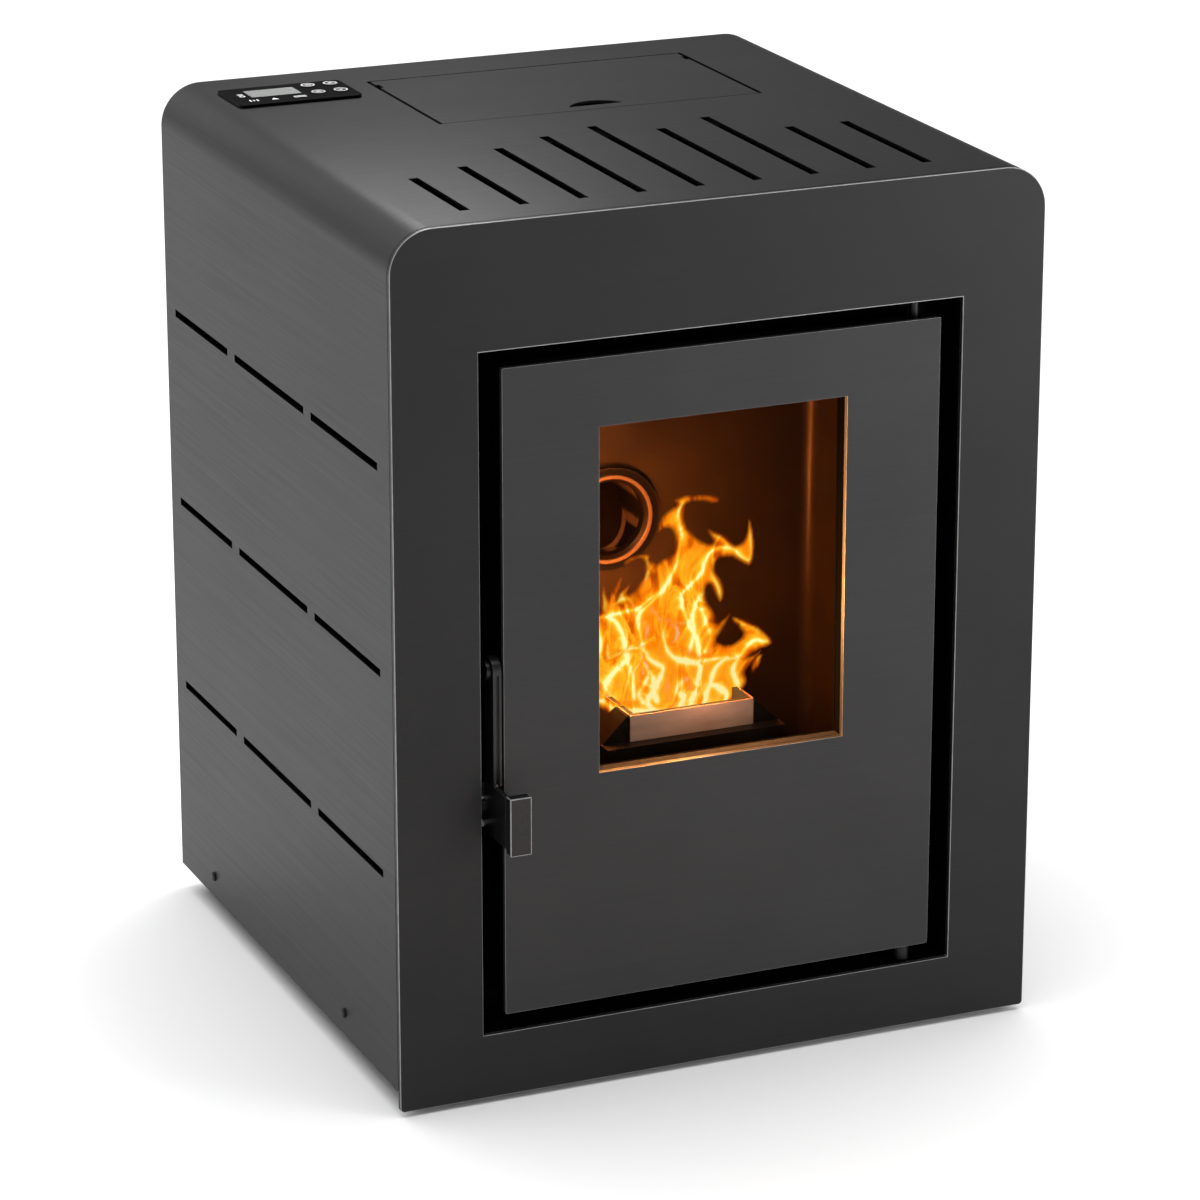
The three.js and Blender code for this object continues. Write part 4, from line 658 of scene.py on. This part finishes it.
def finish_nodes(materials):
    """Give each node its paint, its rounded edges and its smooth shading, in this order."""
    group = smooth_group()
    slots = {part["node"]: part["material_slot"] for part in frame["record"]["subparts"]}
    widths = {**SOFT_EDGES, **HIGHLIGHT_EDGES}
    for name, node in NODES.items():
        node.data.materials.clear()
        node.data.materials.append(materials[OWN_PAINT.get(name, slots[name])])
        if name in HIGHLIGHT_EDGES:
            # The bevels of these nodes take the painted edge highlight.
            node.data.materials.append(materials["edge_highlight"])
        if name in widths:
            round_edges(node, widths[name], 1 if name in HIGHLIGHT_EDGES else -1)
        node.modifiers.new("smooth", "NODES").node_group = group
        if name in widths:
            flat = node.modifiers.new("flat_faces", "WEIGHTED_NORMAL")
            flat.weight = 100
            flat.keep_sharp = True


# ---------------------------------------------------------------- fire

FIRE_Y = -0.141  # plane of the main flames
# Outline of the main flame in mm, across the stove and above the floor, from its left foot.
MAIN_FLAME = [
    (-42, 214), (-47, 232), (-56, 246), (-62, 262), (-60, 276), (-66, 290), (-72, 306), (-66, 300),
    (-58, 297), (-50, 302), (-44, 313), (-34, 323), (-37, 312), (-38, 306), (-26, 307), (-20, 312),
    (-17, 317), (-10, 323), (-1, 329), (6, 333), (7, 341), (5, 349), (0, 351), (-5, 349), (-2, 360),
    (4, 365), (7, 368), (5, 371), (12, 374), (20, 374), (29, 373), (35, 370), (33, 367), (21, 370),
    (15, 369), (12, 365), (13, 354), (20, 344), (27, 339), (32, 339), (30, 344), (28, 349), (34, 346),
    (41, 343), (44, 339), (47, 336), (53, 337), (57, 344), (59, 352), (62, 341), (62, 327), (59, 320),
    (57, 320), (51, 324), (44, 328), (36, 326), (34, 319), (38, 312), (41, 303), (40, 296), (38, 296),
    (32, 308), (29, 305), (30, 297), (35, 288), (38, 278), (38, 266), (47, 263), (55, 269), (53, 275),
    (47, 283), (54, 282), (63, 277), (71, 270), (76, 263), (72, 260), (66, 258), (61, 252), (55, 241),
    (53, 229), (52, 214),
]
# Bright strands in the main flame, each from its lower end, in the same measure.
STRANDS = [
    [(-10, 226), (-12, 246), (-18, 261), (-20, 275), (-22, 289), (-20, 296), (-10, 301), (1, 310),
     (8, 323), (10, 336), (11, 347), (8, 361), (11, 369)],
    [(-24, 228), (-27, 251), (-31, 265), (-34, 281), (-39, 292), (-46, 298)],
    [(-62, 299), (-56, 298), (-46, 298), (-33, 299), (-22, 299), (-12, 303), (-1, 307)],
    [(20, 310), (26, 318), (28, 327), (33, 334), (45, 334), (52, 327), (59, 324), (60, 337), (59, 350)],
    [(16, 224), (21, 244), (26, 257), (24, 269), (18, 281), (14, 293), (13, 302), (20, 310)],
    [(30, 259), (34, 270), (30, 282), (26, 296), (29, 305)],
    [(51, 222), (47, 246), (55, 255), (62, 265), (72, 264), (68, 272), (57, 277), (49, 282)],
    [(4, 224), (-1, 243), (-6, 255), (0, 265), (-3, 277)],
    [(-33, 220), (-42, 235), (-46, 247), (-38, 259), (-31, 265)],
    [(-24, 230), (-10, 240), (4, 238), (21, 244), (37, 249), (52, 251)],
    [(30, 345), (37, 342), (43, 335)],
    [(39, 298), (37, 306), (33, 315), (34, 326)],
    [(18, 258), (22, 274), (21, 287), (25, 300)],
    [(-50, 226), (-55, 246), (-54, 264), (-50, 280), (-54, 296)],
    [(-42, 222), (-20, 226), (5, 224), (30, 228), (50, 228)],
]
SPARK = [(62, 244), (64, 251), (70, 254), (68, 246), (64, 240)]

# How the sheets are drawn, all in mm.
SHEET_STEP = 1.1  # distance between the points of a sheet
STRAND_WIDTH = 1.5
GLOW_WIDTH = 8.0  # of the glow round a strand
SOFT_EDGE = 4.0
FLAME_FOOT = 216  # height at which the flames leave the pot
FLAME_REACH = 150  # the strands grow thinner up to this far above the foot
BASE_TOP = 262  # below this the flames grow brighter, over BASE_FADE
BASE_FADE = 60
BEND_ACROSS = 17.0  # the wave of a sheet turns by one radian over this width
BEND_UP = 41.0  # and over this height


def distance_to_path(points, path):
    """Least distance of each point from a path of straight pieces."""
    best = np.full(len(points), 1e9)
    for start, end in zip(path[:-1], path[1:]):
        start, end = np.array(start, float), np.array(end, float)
        along = end - start
        share = np.clip((points - start) @ along / (along @ along), 0, 1)
        nearest = start + share[:, None] * along
        best = np.minimum(best, np.linalg.norm(points - nearest, axis=1))
    return best


def inside_outline(points, outline):
    """True for each point inside a closed outline."""
    inside = np.zeros(len(points), bool)
    x, z = points[:, 0], points[:, 1]
    for (x0, z0), (x1, z1) in zip(outline, outline[1:] + outline[:1]):
        crosses = (z0 > z) != (z1 > z)
        rise = (z1 - z0) if z1 != z0 else 1e-9
        inside ^= crosses & (x < x0 + (z - z0) * (x1 - x0) / rise)
    return inside


def smooth_path(path, steps):
    """The path with Catmull-Rom curves between its points."""
    points = [np.array(p, float) for p in path]
    points = [2 * points[0] - points[1]] + points + [2 * points[-1] - points[-2]]
    out = []
    for a, b, c, d in zip(points[:-3], points[1:-2], points[2:-1], points[3:]):
        for step in range(steps):
            t = step / steps
            out.append(tuple(0.5 * (
                2 * b + (c - a) * t + (2 * a - 5 * b + 4 * c - d) * t * t
                + (3 * b - a - 3 * c + d) * t ** 3
            )))
    return out + [tuple(points[-2])]


def flame_values(grid, outline, strands):
    """For each point: whether it lies in the flame, its soft body, and its bright core."""
    inside = inside_outline(grid, outline)
    edge = distance_to_path(grid, outline + outline[:1])
    body = np.where(inside, np.clip(edge / SOFT_EDGE + 0.12, 0, 1), 0)
    line = np.zeros(len(grid))
    glow = np.zeros(len(grid))
    thick = 1.35 - 0.6 * np.clip((grid[:, 1] - FLAME_FOOT) / FLAME_REACH, 0, 1)
    for strand in strands:
        away = distance_to_path(grid, strand)
        line = np.maximum(line, np.exp(-((away / (STRAND_WIDTH * thick)) ** 1.5)))
        glow = np.maximum(glow, np.exp(-(away / (GLOW_WIDTH * thick))))
    base = np.clip((BASE_TOP - grid[:, 1]) / BASE_FADE, 0, 1)
    rim = np.clip(edge / (2.2 * SOFT_EDGE), 0, 1)
    core = np.clip(0.16 + 0.42 * glow * rim + 0.42 * line + 0.10 * base, 0, 1)
    return inside, body, core * np.clip(body * 1.5, 0, 1)


def grid_faces(columns, rows, inside):
    """The squares of a grid that have a corner inside the outline."""
    faces = []
    for row in range(rows - 1):
        for column in range(columns - 1):
            first = row * columns + column
            quad = (first, first + 1, first + columns + 1, first + columns)
            if inside[list(quad)].any():
                faces.append(quad)
    return faces


def drop_loose(mesh):
    """Delete the vertices that no face uses."""
    prune = bmesh.new()
    prune.from_mesh(mesh)
    loose = [vertex for vertex in prune.verts if not vertex.link_faces]
    bmesh.ops.delete(prune, geom=loose, context="VERTS")
    prune.to_mesh(mesh)
    prune.free()


def shade_smooth(mesh):
    for polygon in mesh.polygons:
        polygon.use_smooth = True


def flame_sheet(name, outline, strands, y, depth, material, change=lambda x, z: (x, z)):
    """A thin curved sheet inside an outline, with body and core attributes for its material."""
    outline = smooth_path([change(*p) for p in outline], 3)
    strands = [smooth_path([change(*p) for p in strand], 4) for strand in strands]
    low, high = np.min(outline, axis=0), np.max(outline, axis=0)
    xs, zs = (
        np.arange(low[axis] - SHEET_STEP, high[axis] + 2 * SHEET_STEP, SHEET_STEP)
        for axis in (0, 1)
    )
    grid = np.array([(x, z) for z in zs for x in xs])
    inside, body, core = flame_values(grid, outline, strands)
    bend = depth * np.sin(grid[:, 0] / BEND_ACROSS + grid[:, 1] / BEND_UP)
    vertices = np.column_stack([grid[:, 0] * MM, y + bend * MM, grid[:, 1] * MM])
    mesh = bpy.data.meshes.new(name)
    mesh.from_pydata(vertices.tolist(), [], grid_faces(len(xs), len(zs), inside))
    for key, values in (("body", body), ("core", core)):
        layer = mesh.attributes.new(key, "FLOAT", "POINT")
        layer.data.foreach_set("value", values.astype(np.float32))
    drop_loose(mesh)
    shade_smooth(mesh)
    mesh.materials.append(material)
    sheet = new_object(name, mesh)
    sheet.visible_diffuse = False
    sheet.visible_shadow = False
    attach(sheet, "burn_pot")


def mirrored(width, shift, height, lift):
    """A change to a flame: mirrored and scaled by width, scaled by height, and moved in mm."""
    return lambda x, z: (shift - width * x, FLAME_FOOT + lift + height * (z - FLAME_FOOT))


def make_fire():
    front = flame_material("flame_front", 0.0, 1.15)
    middle = flame_material("flame_middle", 3.7, 1.0)
    rear = flame_material("flame_rear", 7.1, 0.9)
    low = mirrored(0.86, -2, 0.52, 2)
    back = mirrored(0.72, 4, 0.70, 0)
    flame_sheet("flame_main", MAIN_FLAME, STRANDS, FIRE_Y, 5, front)
    flame_sheet("flame_spark", SPARK, [SPARK[:3]], FIRE_Y, 2, front)
    flame_sheet("flame_low", MAIN_FLAME, STRANDS, FIRE_Y - 20 * MM, 4, middle, low)
    flame_sheet("flame_back", MAIN_FLAME, STRANDS, FIRE_Y + 22 * MM, 5, rear, back)


PELLET_COUNT = 170
PELLET_RADIUS = 3 * MM
PELLET_LENGTHS = (8, 15)  # mm, least and most
POT_WALL = 12 * MM  # the pellets' middles stay this far inside the pot's box
BED_DEPTHS = (26 * MM, 13 * MM)  # and between these depths below its rim


def make_embers(material):
    """A bed of burning pellets in the pot."""
    chance = random.Random(7)
    low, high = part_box("burn_pot")
    builder = bmesh.new()
    for _ in range(PELLET_COUNT):
        x = chance.uniform(low[0] + POT_WALL, high[0] - POT_WALL)
        y = chance.uniform(low[1] + POT_WALL, high[1] - POT_WALL)
        z = chance.uniform(*(high[2] - depth for depth in BED_DEPTHS))
        length = chance.uniform(*PELLET_LENGTHS) * MM
        made = bmesh.ops.create_cone(
            builder, cap_ends=True, segments=8,
            radius1=PELLET_RADIUS, radius2=PELLET_RADIUS, depth=length,
        )
        turn = Vector((chance.uniform(-1, 1), chance.uniform(-1, 1), chance.uniform(-0.4, 0.4)))
        matrix = turn.to_track_quat("Z", "X").to_matrix().to_4x4()
        bmesh.ops.transform(builder, matrix=matrix, verts=made["verts"])
        bmesh.ops.translate(builder, vec=(x, y, z), verts=made["verts"])
    mesh = bpy.data.meshes.new("ember_bed")
    builder.to_mesh(mesh)
    builder.free()
    mesh.materials.append(material)
    bed = new_object("ember_bed", mesh)
    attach(bed, "burn_pot")


ORANGE = (1.0, 0.36, 0.08)
# Glow of the fire: name, place, radius in metres, power in watts, colour.
FIRE_LIGHTS = [
    ("fire_glow_low", (-0.005, FIRE_Y, 0.285), 0.022, 6.5, ORANGE),
    ("fire_glow_high", (-0.03, FIRE_Y + 0.03, 0.335), 0.018, 2.4, ORANGE),
    ("fire_glow_left", (-0.070, -0.085, 0.385), 0.012, 2.2, (1.0, 0.42, 0.14)),
    ("fire_glow_front", (0.01, -0.196, 0.262), 0.012, 0.12, (1.0, 0.5, 0.24)),
]


def fire_light(name, place, radius, power, color):
    data = bpy.data.lights.new(name, "POINT")
    data.energy = power
    data.color = color
    data.shadow_soft_size = radius
    new_object(name, data).location = place


# ---------------------------------------------------------------- control panel print

KEY_LINE = 0.8 * MM  # width of the lines printed on the keys
KEY_RING = 4.4 * MM
ARROW = 2.1 * MM
PRINT_LIFT = 0.06 * MM  # the ink lies this far above its surface


def make_print(name, shapes, top, body, material):
    """Flat printed shapes, each a list of (x, y) corners in metres, just above a surface."""
    mesh = bpy.data.meshes.new(name)
    vertices, faces = [], []
    for shape in shapes:
        start = len(vertices)
        vertices += [(x, y, top + PRINT_LIFT) for x, y in shape]
        faces.append(tuple(range(start, start + len(shape))))
    mesh.from_pydata(vertices, [], faces)
    mesh.materials.append(material)
    piece = new_object(name, mesh)
    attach(piece, body)


def bar(x, y, width, height):
    corners = ((-0.5, -0.5), (0.5, -0.5), (0.5, 0.5), (-0.5, 0.5))
    return [(x + width * across, y + height * up) for across, up in corners]


def arc_band(x, y, radius, width, start, end, steps=14):
    """Part of a ring as one strip, angles in degrees."""
    angles = [math.radians(start + (end - start) * i / steps) for i in range(steps + 1)]
    outer, inner = (
        [(x + reach * math.cos(angle), y + reach * math.sin(angle)) for angle in angles]
        for reach in (radius + width / 2, radius - width / 2)
    )
    return outer + inner[::-1]


def triangle(x, y, size, up=True):
    tip = size if up else -size
    return [(x - size, y - 0.6 * tip), (x + size, y - 0.6 * tip), (x, y + tip)]


def key_sign(number, x, y):
    """Generic signs: on-off, an arrow up, a menu and an arrow down."""
    if number == 1:
        circle = arc_band(x, y, 1.8 * MM, KEY_LINE, 130, 410)
        return [circle, bar(x, y + 1.6 * MM, KEY_LINE, 2.4 * MM)]
    if number == 3:
        return [bar(x, y + step * 1.5 * MM, 4 * MM, KEY_LINE) for step in (-1, 0, 1)]
    return [triangle(x, y, ARROW, up=number == 2)]


def print_keys(material):
    for number, key in enumerate(KEY_NAMES, 1):
        low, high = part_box(key)
        x, y = (low[0] + high[0]) / 2, (low[1] + high[1]) / 2
        ring = arc_band(x, y, KEY_RING, KEY_LINE, 0, 360, 32)
        make_print(f"{key}_sign", [ring] + key_sign(number, x, y), high[2], key, material)


def print_panel(material):
    """Small signs beside the display and in a row in front of it."""
    low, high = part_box("panel_display")
    left, right, front = low[0], high[0], low[1]
    row = front - 9.5 * MM
    beside = left - 5.5 * MM
    bars = left - 2 * MM
    words = right - 4.5 * MM
    signs = [
        bar(beside, front + 11 * MM, 4.2 * MM, 1 * MM),
        bar(beside, front + 8.8 * MM, 4.2 * MM, 1 * MM),
        arc_band(beside, front + 5 * MM, 1.7 * MM, 0.9 * MM, 0, 360, 16),
        bar(bars - 2.6 * MM, row, 1.1 * MM, 5 * MM),
        bar(bars, row, 1.1 * MM, 3.4 * MM),
        bar(bars + 2.6 * MM, row, 1.1 * MM, 5 * MM),
        triangle(left + 13 * MM, row - 0.5 * MM, 2.7 * MM),
        bar(words, row + 1.3 * MM, 9 * MM, 1.1 * MM),
        bar(words, row - 1.3 * MM, 9 * MM, 1.1 * MM),
    ]
    make_print("panel_signs", signs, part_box("control_panel")[1][2], "body", material)


# ---------------------------------------------------------------- door rope

ROPE_STEP = 2.2 * MM  # between the rings of points along the rope
ROPE_STRANDS = 8
ROPE_CORNER = 12 * MM  # radius of its path at the door's corners
CORNER_STEPS = 6
ROPE_PITCH = 9 * MM  # along which a strand moves half way to the next one's place
ROPE_SWELL = 0.4 * MM  # height of the strands


def rope_path(x0, x1, z0, z1):
    """Evenly spaced points round a rectangle with rounded corners."""
    centres = [
        (x1 - ROPE_CORNER, z0 + ROPE_CORNER, -90), (x1 - ROPE_CORNER, z1 - ROPE_CORNER, 0),
        (x0 + ROPE_CORNER, z1 - ROPE_CORNER, 90), (x0 + ROPE_CORNER, z0 + ROPE_CORNER, 180),
    ]
    corners = []
    for x, z, start in centres:
        for step in range(CORNER_STEPS + 1):
            angle = math.radians(start + 90 * step / CORNER_STEPS)
            reach = (ROPE_CORNER * math.cos(angle), ROPE_CORNER * math.sin(angle))
            corners.append(Vector((x + reach[0], 0, z + reach[1])))
    path = []
    for start, end in zip(corners, corners[1:] + corners[:1]):
        count = max(1, round((end - start).length / ROPE_STEP))
        path += [start.lerp(end, i / count) for i in range(count)]
    return path


def make_rope(material):
    """The braided seal on the back of the door, in place of its plain solid."""
    low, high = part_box("door_rope_seal")
    radius = (high[1] - low[1]) / 2
    middle_y = (low[1] + high[1]) / 2
    path = rope_path(low[0] + radius, high[0] - radius, low[2] + radius, high[2] - radius)
    rings = len(path)
    around = 4 * ROPE_STRANDS
    vertices, faces = [], []
    for index, point in enumerate(path):
        ahead = (path[(index + 1) % rings] - path[index - 1]).normalized()
        outward = Vector((ahead.z, 0, -ahead.x))
        twist = index * ROPE_STEP / ROPE_PITCH * math.pi
        for side in range(around):
            angle = 2 * math.pi * side / around
            first = math.cos(ROPE_STRANDS / 2 * angle + twist)
            second = math.cos(ROPE_STRANDS / 2 * angle - twist)
            swell = radius - ROPE_SWELL + ROPE_SWELL * max(first, second)
            aside = math.cos(angle) * outward + math.sin(angle) * Vector((0, 1, 0))
            place = point + swell * aside
            vertices.append((place.x, middle_y + place.y, place.z))
    for ring in range(rings):
        following = (ring + 1) % rings
        for side in range(around):
            across = (side + 1) % around
            faces.append((
                ring * around + side, ring * around + across,
                following * around + across, following * around + side,
            ))
    mesh = bpy.data.meshes.new("door_rope")
    mesh.from_pydata(vertices, [], faces)
    shade_smooth(mesh)
    mesh.materials.append(material)
    rope = new_object("door_rope", mesh)
    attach(rope, "door")
    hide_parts("door_rope_seal")


# ---------------------------------------------------------------- put together

make_camera()
make_studio()
all_materials = make_materials()
finish_nodes(all_materials)
make_fire()
make_embers(all_materials["embers"])
for light in FIRE_LIGHTS:
    fire_light(*light)
print_keys(all_materials["printed_white"])
print_panel(all_materials["printed_white"])
make_rope(all_materials["rope"])
